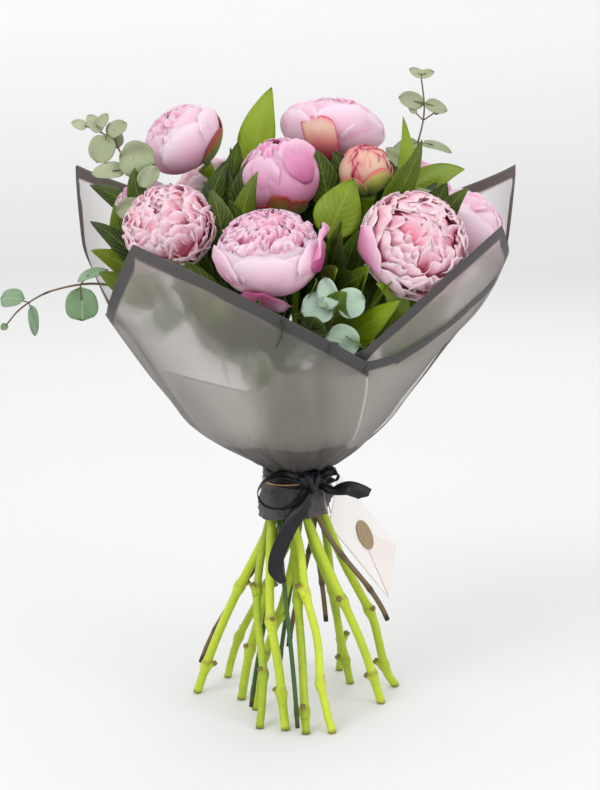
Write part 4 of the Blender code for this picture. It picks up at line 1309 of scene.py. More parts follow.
# ---------------------------------------------------------------- ribbon
@dataclass(frozen=True)
class Strip:
    """A free stretch of ribbon: its route, its width direction along it, and its cut end."""
    node: str
    route: tuple[Point, ...]
    sides: tuple[Point, ...]
    cut: float = 0.0
    pinch: float = 0.45

    def build(self, stock: Blade, material: bpy.types.Material) -> None:
        points = [np.array(p) for p in self.route]
        line = resample(smooth_route(points, points[1] - points[0], points[-1] - points[-2], 12), 200)
        places = np.linspace(0, 1, len(self.sides))
        u, v = stock.u, stock.v
        length = float(np.linalg.norm(np.diff(line, axis=0), axis=1).sum())
        along = np.clip(v + self.cut * u * RIBBON_WIDTH / length * ease(v, 0.5, 1.0), 0, 1)
        steps = np.linspace(0, 1, len(line))
        centre = read_rows(along, steps, line)
        run = unit(read_rows(along, steps, np.gradient(line, axis=0)))
        side = read_rows(along, places, np.array(self.sides))
        side = unit(side - run * np.sum(side * run, axis=1, keepdims=True))
        face = np.cross(run, side)
        grip = self.pinch + (1 - self.pinch) * ease(v * length, 0.0, 0.022)
        half = RIBBON_WIDTH / 2 * grip
        fold = 0.0011 * (1.3 - grip) * np.cos(5.5 * u) + 0.0006 * np.sin(3 * u + 9 * v) - 0.0010 * u**2
        cluster = Cluster(f"{self.node}_satin")
        growth = np.stack([v, np.abs(u) ** 6, np.zeros_like(v)], axis=1)
        cluster.add(centre + side * (u * half)[:, None] + face * fold[:, None], stock.faces,
                    np.stack([u * 0.5 + 0.5, v * length / RIBBON_WIDTH], axis=1), growth)
        piece = cluster.build(thickness=SATIN_WALL)
        hand_over(piece, "ribbon", material, self.node)


class Tying:
    """The ribbon round the waist, its knot and its loops and tails."""

    BAND_Z = 0.2065
    BAND_RADIUS = 0.0285

    def build(self, stock: dict[str, Blade], finishes: dict[str, bpy.types.Material]) -> None:
        """Make all the ribbon's pieces."""
        satin = finishes["satin_black"]
        hand_over(self.band(), "ribbon", satin, "ribbon_band")
        hand_over(self.knot(), "ribbon", satin, "ribbon_knot")
        for strip in RIBBON_STRIPS:
            strip.build(stock["strip"], satin)
        hand_over(self.thread(), "string", finishes["string_tan"])

    def band(self) -> bpy.types.Object:
        """Two turns of crumpled ribbon round the waist, one a little over the other."""
        cluster = Cluster("ribbon_band_satin")
        for turn, (lift, tilt, wide) in enumerate(((0.0, 0.0012, 1.0), (0.0007, -0.0022, 0.72))):
            count, rows = 180, 15
            angle = 2 * np.pi * np.arange(count) / count
            points, uv = [], []
            for r in range(rows):
                s = r / (rows - 1) * 2 - 1
                crease = (0.0005 * np.sin(3 * angle + 5 * s + turn)
                          + 0.0005 * np.abs(np.sin(5.5 * s + 2 * angle))
                          + 0.0003 * np.sin(9 * s + 5 * angle))
                radius = self.BAND_RADIUS + lift + crease - 0.0006 * s * s
                height = (self.BAND_Z + s * RIBBON_WIDTH / 2 * wide * (1 - 0.14 * np.sin(2 * angle + turn))
                          + tilt * np.sin(angle + 2.0 * turn))
                points.append(polar(angle, radius, height))
                uv.append(np.stack([np.full(count, s * 0.5 + 0.5), angle * 2.2], axis=1))
            grown = np.zeros((count * rows, 3))
            cluster.add(np.concatenate(points), quads(rows, count), np.concatenate(uv), grown)
        return cluster.build(thickness=0.0004, offset=1.0)

    def knot(self) -> bpy.types.Object:
        """The half-hitch: a tight turn of satin with its folds gathered across it."""
        low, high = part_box("ribbon_knot")
        middle = np.array((low + high) / 2) - AXIS
        out = unit(middle * np.array([1.0, 1.0, 0.0]))
        side = np.cross(np.array([0, 0, 1.0]), out)
        cluster = Cluster("ribbon_knot_satin")
        count, half = 34, 0.0105
        levels = np.linspace(0, np.pi, count)
        route = np.outer(-np.cos(levels), side * half) + np.outer(np.sin(levels) * 0.0016, [0, 0, 1.0])
        cluster.tube(middle + route, np.maximum(np.sin(levels) ** 0.7, 0.05) * 0.0064, 36,
                     np.zeros((count, 3)))
        points = cluster.points[0] - middle
        turn = np.arctan2(points @ out, points[:, 2])
        across = points @ side / half
        ridge = 1 + 0.10 * np.abs(np.sin(3.5 * turn + 2.6 * across)) + 0.05 * np.sin(8 * turn - 3 * across)
        cluster.points[0] = middle + points * ridge[:, None]
        for lean in (-0.6, 0.5):
            arc = np.linspace(-1.9, 1.9, 30)
            wrap = (middle + np.outer(np.sin(arc), np.array([0, 0, 0.0078]))
                    + np.outer(np.cos(arc), out * 0.0078)
                    + np.outer(np.sin(arc) * lean, side * 0.0050) + side * lean * 0.004)
            cluster.tube(wrap, np.full(30, 0.0026), 14, np.zeros((30, 3)))
        return cluster.build()

    def thread(self) -> bpy.types.Object:
        """The thin thread that is laid once round the waist under the ribbon."""
        angle = np.radians(np.linspace(150, 500, 90))
        dip = 0.0050 * np.sin(angle * 1.0 + 0.9)
        radius = self.BAND_RADIUS + 0.0018
        route = polar(angle, radius, self.BAND_Z + dip)
        cluster = Cluster("waist_thread")
        cluster.tube(route, np.full(90, 0.0006), 8, np.zeros((90, 3)))
        return cluster.build()


# ---------------------------------------------------------------- envelope and its string
@dataclass(frozen=True)
class Envelope:
    """A small gift envelope with its flap, a plain round seal and the string that it hangs from."""
    centre: Point = (0.060, 0.082, 0.128)
    down: Point = (0.55, 0.32, -0.77)
    across: Point = (0.14, 0.87, 0.46)
    long: float = 0.100
    short: float = 0.070
    thick: float = 0.0012
    seal_width: float = 0.028
    string_width: float = 0.0010

    def axes(self) -> tuple[np.ndarray, np.ndarray, np.ndarray]:
        """The long direction, the short direction and the way it faces."""
        down = unit(np.array(self.down))
        face = unit(np.cross(down, np.array(self.across)))
        return down, np.cross(face, down), face

    def place(self, piece: bpy.types.Object, lift: float) -> None:
        """Turn a piece modelled flat on the ground into the envelope's plane."""
        down, across, face = self.axes()
        middle = np.array(self.centre) + AXIS + face * lift
        for vertex in piece.data.vertices:
            x, y, z = vertex.co
            vertex.co = Vector(middle + down * x + across * y + face * z)

    def build(self, finishes: dict[str, bpy.types.Material]) -> None:
        """Make the card, its flap, the seal and the string."""
        hand_over(self.card(), "card", finishes["card_white"], "envelope")
        hand_over(self.flap(), "card", finishes["card_fold"])
        hand_over(self.seal(), "seal", finishes["foil_bronze"], "seal")
        self.string(finishes["string_tan"])

    def card(self) -> bpy.types.Object:
        """The body: a thin box with softened edges and a faint belly."""
        card = primitive(bpy.ops.mesh.primitive_cube_add, "envelope_card", size=1.0)
        bpy.ops.transform.resize(value=(self.long, self.short, self.thick * 0.8))
        bpy.ops.object.transform_apply(scale=True)
        cut_finer(9)
        bpy.ops.object.mode_set(mode="OBJECT")
        for vertex in card.data.vertices:
            share = (2 * vertex.co.x / self.long) ** 2 + (2 * vertex.co.y / self.short) ** 2
            vertex.co.z += 0.0006 * max(0.0, 1 - share / 2) * (1 if vertex.co.z > 0 else 0)
        apply_modifier(card, "BEVEL", width=0.0003, segments=2, limit_method="ANGLE")
        self.place(card, 0.0)
        bpy.ops.object.shade_smooth_by_angle(angle=0.6)
        return card

    def flap(self) -> bpy.types.Object:
        """The pointed flap that folds over the lower end, with its crease."""
        flap = primitive(bpy.ops.mesh.primitive_plane_add, "envelope_flap", size=1.0)
        half_long, half_short = self.long / 2, self.short / 2
        corners = ((half_long - 0.0004, -half_short + 0.0004), (half_long - 0.0004, half_short - 0.0004),
                   (0.010, -0.012), (0.010, 0.012))
        order = sorted(range(4), key=lambda i: (flap.data.vertices[i].co.x < 0, flap.data.vertices[i].co.y))
        for index, corner in zip(order, corners):
            flap.data.vertices[index].co = Vector((*corner, 0.0))
        cut_finer(12)
        bpy.ops.mesh.normals_make_consistent(inside=False)
        bpy.ops.object.mode_set(mode="OBJECT")
        for vertex in flap.data.vertices:
            vertex.co.z = 0.0004 * (1 - vertex.co.x / half_long) + 0.0003
        apply_modifier(flap, "SOLIDIFY", thickness=0.0003, offset=1.0)
        self.place(flap, self.thick * 0.4 + 0.0002)
        return flap

    def seal(self) -> bpy.types.Object:
        """A plain wax-like disc with a raised rim."""
        radius = self.seal_width / 2
        seal = primitive(bpy.ops.mesh.primitive_cylinder_add, "seal_disc", vertices=64, radius=radius,
                         depth=0.0008)
        bpy.ops.object.mode_set(mode="EDIT")
        bpy.ops.mesh.select_all(action="DESELECT")
        bpy.ops.object.mode_set(mode="OBJECT")
        for face in seal.data.polygons:
            face.select = face.normal.z > 0.9
        bpy.ops.object.mode_set(mode="EDIT")
        for share, depth in ((0.10, 0.0), (0.04, -0.0004), (0.30, 0.0), (0.04, 0.0003)):
            bpy.ops.mesh.inset(thickness=radius * share, depth=depth)
        bpy.ops.object.mode_set(mode="OBJECT")
        apply_modifier(seal, "BEVEL", width=0.00012, segments=2, limit_method="ANGLE")
        self.place(seal, self.thick / 2 + 0.0013)
        bpy.ops.object.shade_smooth_by_angle(angle=0.6)
        return seal

    def string(self, material: bpy.types.Material) -> None:
        """The thin string from the ribbon to the envelope's top edge, as a free cord."""
        down, across, _ = self.axes()
        above = self.long / 2 + 0.0003 + self.string_width / 2
        hook = np.array(self.centre) - down * above - across * 0.020
        angle = math.radians(52)
        rim = STRING_RIM
        start = np.array([math.cos(angle) * rim, math.sin(angle) * rim, 0.2080])
        middle = (start + hook) / 2 + np.array([0.002, 0.004, -0.005])
        route = resample(smooth_route([start, middle, hook], middle - start, hook - middle, 8), 24)
        cluster = Cluster("tag_string_cord")
        cluster.tube(route, np.full(24, self.string_width / 2), 10, np.zeros((24, 3)))
        piece = cluster.build()
        hand_over(piece, "string", material, "tag_string")


# ---------------------------------------------------------------- the bunch
class Bunch:
    """The whole bunch: finishes and blades first, then each kind of piece in order."""

    FILLING = 95         # leaves kept between the blooms
    TRIES = 900

    def __init__(self) -> None:
        """Make the finishes and the stock of blades."""
        self.finishes = {finish.name: finish.build() for finish in FINISHES}
        self.stock = {"broad": Blade(16, 16, 0.75), "narrow": Blade(20, 12, 0.6), "leaf": Blade(8, 22),
                      "coin": Blade(8, 10), "film": Blade(170, 110), "strip": Blade(8, 60)}

    def blooms(self) -> None:
        """All flower heads and the guard petals that stand clear of them."""
        for bloom in BLOOMS.values():
            bloom.build(self.stock, self.finishes)
        for number, petal in enumerate(GUARD_PETALS):
            piece = petal.build(BLOOMS[petal.bloom], self.stock["broad"], 400 + number)
            hand_over(piece, "petal", self.finishes["petal_guard"], petal.node)

    def stems(self) -> None:
        """Peony stems under their blooms, and the foliage stems."""
        for number, (name, path) in enumerate(PEONY_PATHS.items()):
            bloom = BLOOMS[name]
            facing = unit(np.array(bloom.facing))
            base = bloom.centre() - facing * bloom.height / 2
            cluster = Cluster(f"stem_{name}_green")
            StemMaker(20 + number).peony(cluster, path.route(PEONY_STEM, base, facing))
            hand_over(cluster.build(), "stem", self.finishes["stem_green"], f"stem_{name}")
        for number, (name, path) in enumerate(FOLIAGE_PATHS.items()):
            cluster = Cluster(f"{name}_stem")
            StemMaker(60 + number).twig(cluster, path.route(FOLIAGE_STEM), FOLIAGE_STEM, 0.7, 4)
            hand_over(cluster.build(), "foliage_stem", self.finishes["stem_dark"], name)

    def sprigs(self) -> None:
        """The eucalyptus sprigs: twig, stalks and round leaves."""
        for number, (name, path) in enumerate(SPRIG_PATHS.items()):
            twig = Cluster(f"{name}_twig")
            maker = StemMaker(80 + number)
            line = maker.twig(twig, path.route(SPRIG_STEM), SPRIG_STEM, 0.30, 9)
            leaves = Cluster(f"{name}_leaves")
            bender = LeafMaker(self.stock["coin"], 90 + number)
            for coin in COINS[name]:
                at = line[min(len(line) - 1, int(coin.share * (len(line) - 1)))]
                centre = at + np.array(coin.offset)
                stalk = at + np.array(coin.offset) * np.linspace(0, 0.8, 5)[:, None]
                grown = np.tile([0.0, 0.0, 0.3], (5, 1))
                twig.tube(stalk, np.full(5, 0.0006), 6, grown)
                leaves.leaf(self.stock["coin"], bender.coin(centre, coin), coin.tone)
            hand_over(twig.build(), "sprig", self.finishes["twig_brown"], name)
            finish = "coin_olive" if "top" in name else "coin_leaf"
            hand_over(leaves.build(thickness=COIN_WALL), "sprig", self.finishes[finish])

    def leaves(self) -> None:
        """The named peony leaves, then the filling between the blooms."""
        for number, (name, leaf) in enumerate(LEAVES.items()):
            maker = LeafMaker(self.stock["leaf"], 120 + number)
            cluster = Cluster(f"{name}_blade")
            cluster.leaf(self.stock["leaf"], maker.lance(leaf), leaf.tone)
            hand_over(cluster.build(thickness=LEAF_WALL), "leaf", self.finishes["leaf_green"], name)
        self.filling()

    def filling(self) -> None:
        """Leaves that fill the room between the blooms, none of them through a bloom."""
        filling = Cluster("leaf_filling")
        rng = np.random.default_rng(7)
        maker = LeafMaker(self.stock["leaf"], 200)
        heads = [(bloom.centre(), max(bloom.width, bloom.height) / 2 + 0.001) for bloom in BLOOMS.values()]
        made = 0
        for k in range(self.TRIES):
            azimuth = GOLDEN_ANGLE * k
            spread = 0.015 + 0.118 * math.sqrt(rng.uniform(0, 1))
            out = np.array([math.cos(azimuth), math.sin(azimuth), 0.0])
            start = out * spread * 0.55 + np.array([0, 0, rng.uniform(0.290, 0.340)])
            level = 0.450 + 0.36 * out[1] * spread - 0.35 * max(0.0, spread - 0.05) + rng.normal(0, 0.016)
            tip = out * (spread + rng.uniform(0.0, 0.022)) + np.array([0, 0, level])
            side = np.cross(out, [0, 0, 1.0]) * rng.normal(0, 0.014)
            bend = (start + tip) / 2 + side - out * 0.006 + np.array([0, 0, 0.014])
            t = np.linspace(0, 1, 9)[:, None]
            middle = bowed(start, bend, tip + side, t)
            if any(np.min(np.linalg.norm(middle - centre, axis=1)) < reach for centre, reach in heads):
                continue
            face = tuple(out * 0.3 + np.array([rng.normal(0, 0.5), -0.6, 0.5]))
            # Painted shade: these leaves between the blooms get low tones, so they are painted dark.
            leaf = Leaf(tuple(start), tuple(bend), tuple(tip + side), rng.uniform(0.026, 0.040),
                        rng.uniform(-0.1, 0.42), 0.3, face)
            filling.leaf(self.stock["leaf"], maker.lance(leaf), leaf.tone)
            made += 1
            if made == self.FILLING:
                break
        for leaf in EXTRA_LEAVES:
            filling.leaf(self.stock["leaf"], maker.lance(leaf), leaf.tone)
        hand_over(filling.build(thickness=LEAF_WALL), "leaf", self.finishes["leaf_green"])

    def film(self) -> None:
        """The pieces of film."""
        for piece in FILM_PIECES:
            piece.build(self.stock["film"], self.finishes)

    def tie(self) -> None:
        """The twine, which keeps its own shape, with fibre finish."""
        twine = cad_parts["twine"]
        twine = bpy.data.objects[twine] if isinstance(twine, str) else twine
        for slot in twine.material_slots:
            slot.material = self.finishes["twine_fibre"]
        Tying().build(self.stock, self.finishes)
        Envelope().build(self.finishes)


FINISHES = (
    PetalFinish("petal_blush", (0.94, 0.28, 0.44), (0.97, 0.58, 0.69), (0.985, 0.80, 0.86), (0.99, 0.91,
                                                                                             0.94)),
    PetalFinish("petal_lilac", (0.92, 0.24, 0.50), (0.97, 0.54, 0.74), (0.98, 0.75, 0.87), (0.99, 0.89,
                                                                                            0.95)),
    PetalFinish("petal_rose", (0.86, 0.10, 0.40), (0.95, 0.38, 0.66), (0.97, 0.62, 0.82), (0.98, 0.82, 0.92)),
    PetalFinish("petal_bud", (0.85, 0.06, 0.22), (0.94, 0.46, 0.42), (0.97, 0.78, 0.62), (0.98, 0.87, 0.74),
                (0.82, 0.02, 0.20)),
    PetalFinish("petal_guard", (0.66, 0.10, 0.36), (0.86, 0.36, 0.62), (0.93, 0.60, 0.78), (0.97, 0.82,
                                                                                            0.90)),
    PetalFinish("sepal", (0.07, 0.13, 0.015), (0.17, 0.20, 0.02), (0.30, 0.13, 0.03), (0.36, 0.02, 0.02),
                glow=0.12),
    PetalFinish("sepal_bud", (0.17, 0.26, 0.03), (0.40, 0.42, 0.06), (0.60, 0.50, 0.16), (0.74, 0.10, 0.16),
                glow=0.12),
    LeafFinish("leaf_green", (0.012, 0.038, 0.005), (0.26, 0.39, 0.006), (0.36, 0.46, 0.09), 0.28),
    LeafFinish("coin_leaf", (0.17, 0.29, 0.14), (0.48, 0.62, 0.52), (0.58, 0.66, 0.50), 0.55),
    LeafFinish("coin_olive", (0.20, 0.27, 0.13), (0.47, 0.50, 0.33), (0.52, 0.50, 0.38), 0.55),
    StemFinish("stem_green", (0.56, 0.66, 0.045), (0.15, 0.26, 0.008), (0.20, 0.14, 0.035)),
    StemFinish("stem_dark", (0.05, 0.13, 0.02), (0.015, 0.045, 0.01), (0.06, 0.03, 0.01)),
    StemFinish("twig_brown", (0.19, 0.13, 0.07), (0.075, 0.05, 0.025), (0.035, 0.022, 0.012), 0.6),
    FilmFinish("film_front", (0.42, 0.395, 0.375), (0.92, 0.89, 0.86), (0.110, 0.103, 0.105), 0.76),
    FilmFinish("film_back", (0.44, 0.42, 0.40), (0.95, 0.93, 0.91), (0.120, 0.090, 0.074), 0.88),
    SatinFinish("satin_black", (0.004, 0.004, 0.006)),
    PaperFinish("card_white", (0.86, 0.83, 0.81)),
    PaperFinish("card_fold", (0.84, 0.77, 0.74)),
    PaperFinish("foil_bronze", (0.36, 0.25, 0.13), 0.38, 0.45),
    TwineFinish("twine_fibre", (0.50, 0.36, 0.18)),
    TwineFinish("string_tan", (0.76, 0.42, 0.18)),
)

BLOOMS = {
    bloom.node: bloom for bloom in (
        Bloom("bloom_ball", (-0.60, -0.20, 0.75), 0.071, 0.055, BloomForm.BALL, "petal_lilac", 1, 10,
              (Sepal(330, 70, 0.50, 0.1), Sepal(20, 86, 0.55, 0.2), Sepal(75, 60, 0.5, 0.3)),
              (Loose(280, 46, 0.62, 0.015, 0.04, 0.0, 110, 0.55), Loose(338, 60, 0.55, 0.030, 0.05, 0.0, 100,
                                                                        0.7))),
        Bloom("bloom_open_left", (-0.25, -0.75, 0.60), 0.077, 0.062, BloomForm.OPEN, "petal_blush", 2, 25,
              shrink=0.94),
        Bloom("bloom_cup", (-0.05, -0.35, 0.93), 0.086, 0.068, BloomForm.CUP, "petal_lilac", 3, 62, (),
              (Loose(266, 58, 0.85, 0.030, 0.02, 0.0, 96, 0.55), Loose(205, 62, 0.62, 0.060, 0.10, 0.2, 84,
                                                                       0.3),
               Loose(336, 56, 0.58, 0.060, 0.08, 0.2, 84, 0.3))),
        Bloom("bloom_opening", (-0.15, -0.15, 0.97), 0.067, 0.066, BloomForm.BALL, "petal_rose", 4, 40,
              (Sepal(232, 66, 0.30, 0.0), Sepal(262, 82, 0.30, 0.2), Sepal(292, 74, 0.28, 0.2),
               Sepal(160, 56, 0.4, 0.3)),
              (Loose(236, 40, 0.55, 0.020, 0.05, 0.1, 108, 0.45),)),
        Bloom("bloom_pale_top", (0.10, 0.15, 0.98), 0.091, 0.060, BloomForm.SMOOTH, "petal_lilac", 5, 75,
              (Sepal(256, 108, 0.34, -0.2),),
              (Loose(228, 52, 0.42, 0.05, 0.06, 0.1, 80, 0.4), Loose(204, 44, 0.40, 0.04, 0.06, 0.2, 80, 0.3),
               Loose(292, 44, 0.72, 0.03, 0.04, 0.0, 100, 0.5)), "petal_bud"),
        Bloom("bloom_bud", (-0.10, -0.25, 0.96), 0.046, 0.043, BloomForm.BUD, "petal_bud", 6, 15,
              (Sepal(236, 96, 0.55, 0.3), Sepal(300, 104, 0.60, 0.2), Sepal(10, 92, 0.55, 0.3),
               Sepal(150, 90, 0.5, 0.5)), (), "sepal_bud"),
        Bloom("bloom_open_right", (0.35, -0.75, 0.55), 0.091, 0.070, BloomForm.OPEN, "petal_blush", 7, 50, (),
              (Loose(176, 62, 0.62, 0.060, 0.05, 0.1, 80, 0.4), Loose(226, 74, 0.50, 0.070, 0.08, 0.2, 70,
                                                                      0.35)),
              shrink=0.94),
        Bloom("bloom_right_back", (0.60, -0.10, 0.80), 0.072, 0.060, BloomForm.SMOOTH, "petal_lilac", 8, 30,
              (),
              (Loose(250, 50, 0.90, 0.020, 0.02, 0.0, 110, 0.5),)),
        Bloom("bloom_left_side", (-0.70, 0.05, 0.70), 0.054, 0.050, BloomForm.BALL, "petal_lilac", 9, 5),
        Bloom("bloom_back_left", (-0.35, 0.55, 0.75), 0.074, 0.060, BloomForm.OPEN, "petal_blush", 10, 70),
        Bloom("bloom_back_mid", (0.10, 0.70, 0.70), 0.074, 0.060, BloomForm.CUP, "petal_blush", 11, 35),
        Bloom("bloom_back_right", (0.50, 0.45, 0.75), 0.074, 0.060, BloomForm.OPEN, "petal_lilac", 12, 80),
    )
}

GUARD_PETALS = (
    GuardPetal("petal_cup_hanging", "bloom_cup", -46, 0.46, 0.26, 0.35, 0.05),
    GuardPetal("petal_cup_right", "bloom_cup", 46, 0.42, 0.22, 0.50, 0.03, 0.2),
    GuardPetal("petal_opening", "bloom_opening", 58, 0.40, 0.24, 0.25, 0.03, 0.35),
    GuardPetal("petal_open_right", "bloom_open_right", 48, 0.46, 0.03, 0.25, 0.03, 0.4),
)

COINS = {
    "sprig_top_left": (
        Coin(0.78, (0.012, -0.012, 0.004), (0.1, -0.9, 0.4), 0.021, 0.3, 1.2),
        Coin(0.83, (-0.014, -0.010, 0.002), (0.1, -0.9, 0.3), 0.020, 0.4, 1.3, 0.2),
        Coin(0.87, (0.010, -0.006, 0.010), (0.2, -0.9, 0.2), 0.015, 0.5, 1.5),
        Coin(0.90, (-0.017, -0.004, -0.001), (0.2, -0.8, 0.6), 0.016, 0.6, 1.7, 0.3, 0.2),
        Coin(0.93, (0.013, -0.005, -0.003), (0.0, -0.97, 0.1), 0.031, 0.45, 1.0),
        Coin(0.94, (-0.005, 0.004, 0.013), (0.3, -0.8, 0.2), 0.014, 0.2, 1.6, 0.3),
        Coin(0.97, (0.009, -0.002, 0.006), (-0.2, -0.9, 0.3), 0.014, 0.5, 1.3, 0.3),
        Coin(0.97, (-0.004, -0.003, -0.011), (0.1, -0.95, 0.2), 0.022, 0.45, 1.1),
        Coin(0.98, (-0.006, -0.001, 0.008), (0.2, -0.9, 0.2), 0.012, 0.7, 1.5, 0.4),
        Coin(0.99, (0.005, -0.002, 0.009), (0.0, -0.9, 0.2), 0.009, 0.6, 1.5, 0.4),
        Coin(1.00, (-0.007, -0.001, 0.002), (0.2, -0.9, 0.3), 0.009, 0.9, 1.5, 0.4),
    ),
    "sprig_top_right": (
        Coin(0.80, (-0.016, -0.004, 0.010), (0.5, -0.8, 0.2), 0.014, 0.5, 2.2, 0.5),
        Coin(0.82, (0.020, -0.003, 0.001), (-0.1, -0.8, 0.6), 0.011, 0.6, 2.4, 0.5),
        Coin(0.84, (0.022, -0.004, -0.012), (0.1, -0.9, 0.3), 0.012, 0.5, 2.0, 0.4),
        Coin(0.86, (-0.010, -0.003, 0.010), (0.4, -0.9, 0.1), 0.013, 0.3, 1.9, 0.4),
        Coin(0.90, (0.016, -0.002, -0.002), (0.0, -0.6, 0.9), 0.012, 0.3, 2.2, 0.5, 0.5),
        Coin(0.90, (-0.013, 0.000, -0.004), (-0.2, -0.8, 0.7), 0.015, 0.2, 1.8, 0.5, 0.4),
        Coin(0.94, (0.012, -0.001, 0.008), (0.0, -0.9, 0.3), 0.006, 0.7, 1.4, 0.2),
        Coin(0.94, (-0.009, -0.001, 0.009), (0.0, -0.9, 0.3), 0.006, 0.7, 1.4, 0.2),
        Coin(0.96, (0.010, -0.002, -0.003), (0.0, -0.9, 0.5), 0.012, 0.5, 1.7, 0.3),
        Coin(0.96, (-0.011, 0.002, 0.002), (0.2, -0.9, 0.5), 0.016, 0.5, 1.4, 0.3),
        Coin(1.00, (-0.004, -0.001, 0.002), (0.3, -0.9, 0.2), 0.008, 0.7, 1.7, 0.4),
        Coin(1.00, (0.005, -0.001, 0.001), (-0.3, -0.9, 0.2), 0.008, 0.8, 1.6, 0.4),
    ),
    "sprig_trailing": (
        Coin(0.60, (-0.002, -0.012, 0.012), (0.1, -0.9, 0.4), 0.022, 0.3),
        Coin(0.72, (0.003, -0.006, -0.012), (0.2, -0.9, 0.2), 0.024, 0.2),
        Coin(0.86, (0.009, -0.003, 0.010), (-0.5, -0.5, 0.7), 0.013, 0.15, 2.0, 0.4, 0.5),
        Coin(0.86, (0.001, -0.003, -0.016), (0.1, -0.95, 0.1), 0.027, 0.0, 1.05, -0.25, 0.2),
        Coin(0.955, (-0.014, -0.002, 0.004), (-0.3, -0.8, 0.5), 0.017, 0.1, 1.45, -0.1, 0.3),
        Coin(0.955, (0.004, -0.002, -0.015), (0.6, -0.7, 0.1), 0.010, 0.25, 2.6, 0.2, 0.2),
        Coin(1.00, (-0.003, -0.001, -0.003), (0.1, -0.9, 0.3), 0.006, 0.0, 1.1, 0.3),
    ),
    "sprig_front": (
        Coin(1.00, (-0.006, -0.006, 0.011), (-0.35, -0.85, 0.2), 0.018, 0.9, 1.45, 0.4),
        Coin(1.00, (0.012, -0.002, 0.003), (0.2, -0.95, 0.15), 0.024, 0.85, 1.0),
        Coin(1.00, (-0.014, -0.003, -0.001), (0.15, -0.9, 0.35), 0.026, 0.75, 1.0, 0.1, 0.2),
        Coin(0.93, (0.013, -0.012, -0.003), (0.05, -0.97, 0.1), 0.028, 0.65),
        Coin(0.90, (-0.018, -0.010, -0.006), (-0.3, -0.8, 0.5), 0.016, 0.5, 2.0, 0.5),
        Coin(0.84, (-0.020, -0.004, 0.006), (-0.4, -0.7, 0.5), 0.015, 0.5, 1.8, 0.5),
        Coin(1.00, (-0.010, -0.008, 0.004), (0.0, -0.9, 0.5), 0.009, 0.3, 1.0, 0.2),
    ),
}

# Each leaf's fifth value is its tone: how far it is painted from shade towards sunlight.
LEAVES = {
    "leaf_top": Leaf((-0.035, 0.052, 0.451), (-0.044, 0.044, 0.484), (-0.022, 0.050, 0.534), 0.034, 1.0),
    "leaf_left": Leaf((-0.012, -0.001, 0.370), (-0.066, -0.040, 0.408), (-0.032, -0.052, 0.470), 0.026, 0.35,
                      0.45),
    "leaf_centre": Leaf((0.022, -0.042, 0.406), (0.029, -0.050, 0.430), (0.046, -0.050, 0.464), 0.042, 0.75),
    "leaf_shade": Leaf((0.018, -0.032, 0.350), (0.024, -0.075, 0.372), (0.052, -0.100, 0.392), 0.036, 0.15),
    "leaf_right_tall": Leaf((0.056, 0.010, 0.400), (0.104, 0.000, 0.425), (0.088, 0.000, 0.511), 0.022, 0.85),
    "leaf_right_bent": Leaf((0.058, 0.013, 0.425), (0.088, -0.022, 0.440), (0.102, -0.030, 0.494), 0.020,
                            0.30),
    "leaf_right_back": Leaf((0.080, 0.044, 0.436), (0.110, 0.046, 0.462), (0.143, 0.034, 0.465), 0.026, 0.80),
    "leaf_right_low": Leaf((0.112, 0.014, 0.372), (0.106, -0.032, 0.426), (0.140, -0.044, 0.456), 0.024,
                           0.10),
    "leaf_low_right": Leaf((0.017, -0.064, 0.305), (0.040, -0.084, 0.340), (0.081, -0.114, 0.373), 0.028,
                           0.75),
    "leaf_low_left": Leaf((-0.090, -0.024, 0.340), (-0.135, -0.022, 0.392), (-0.169, -0.046, 0.405), 0.024,
                          0.5),
}
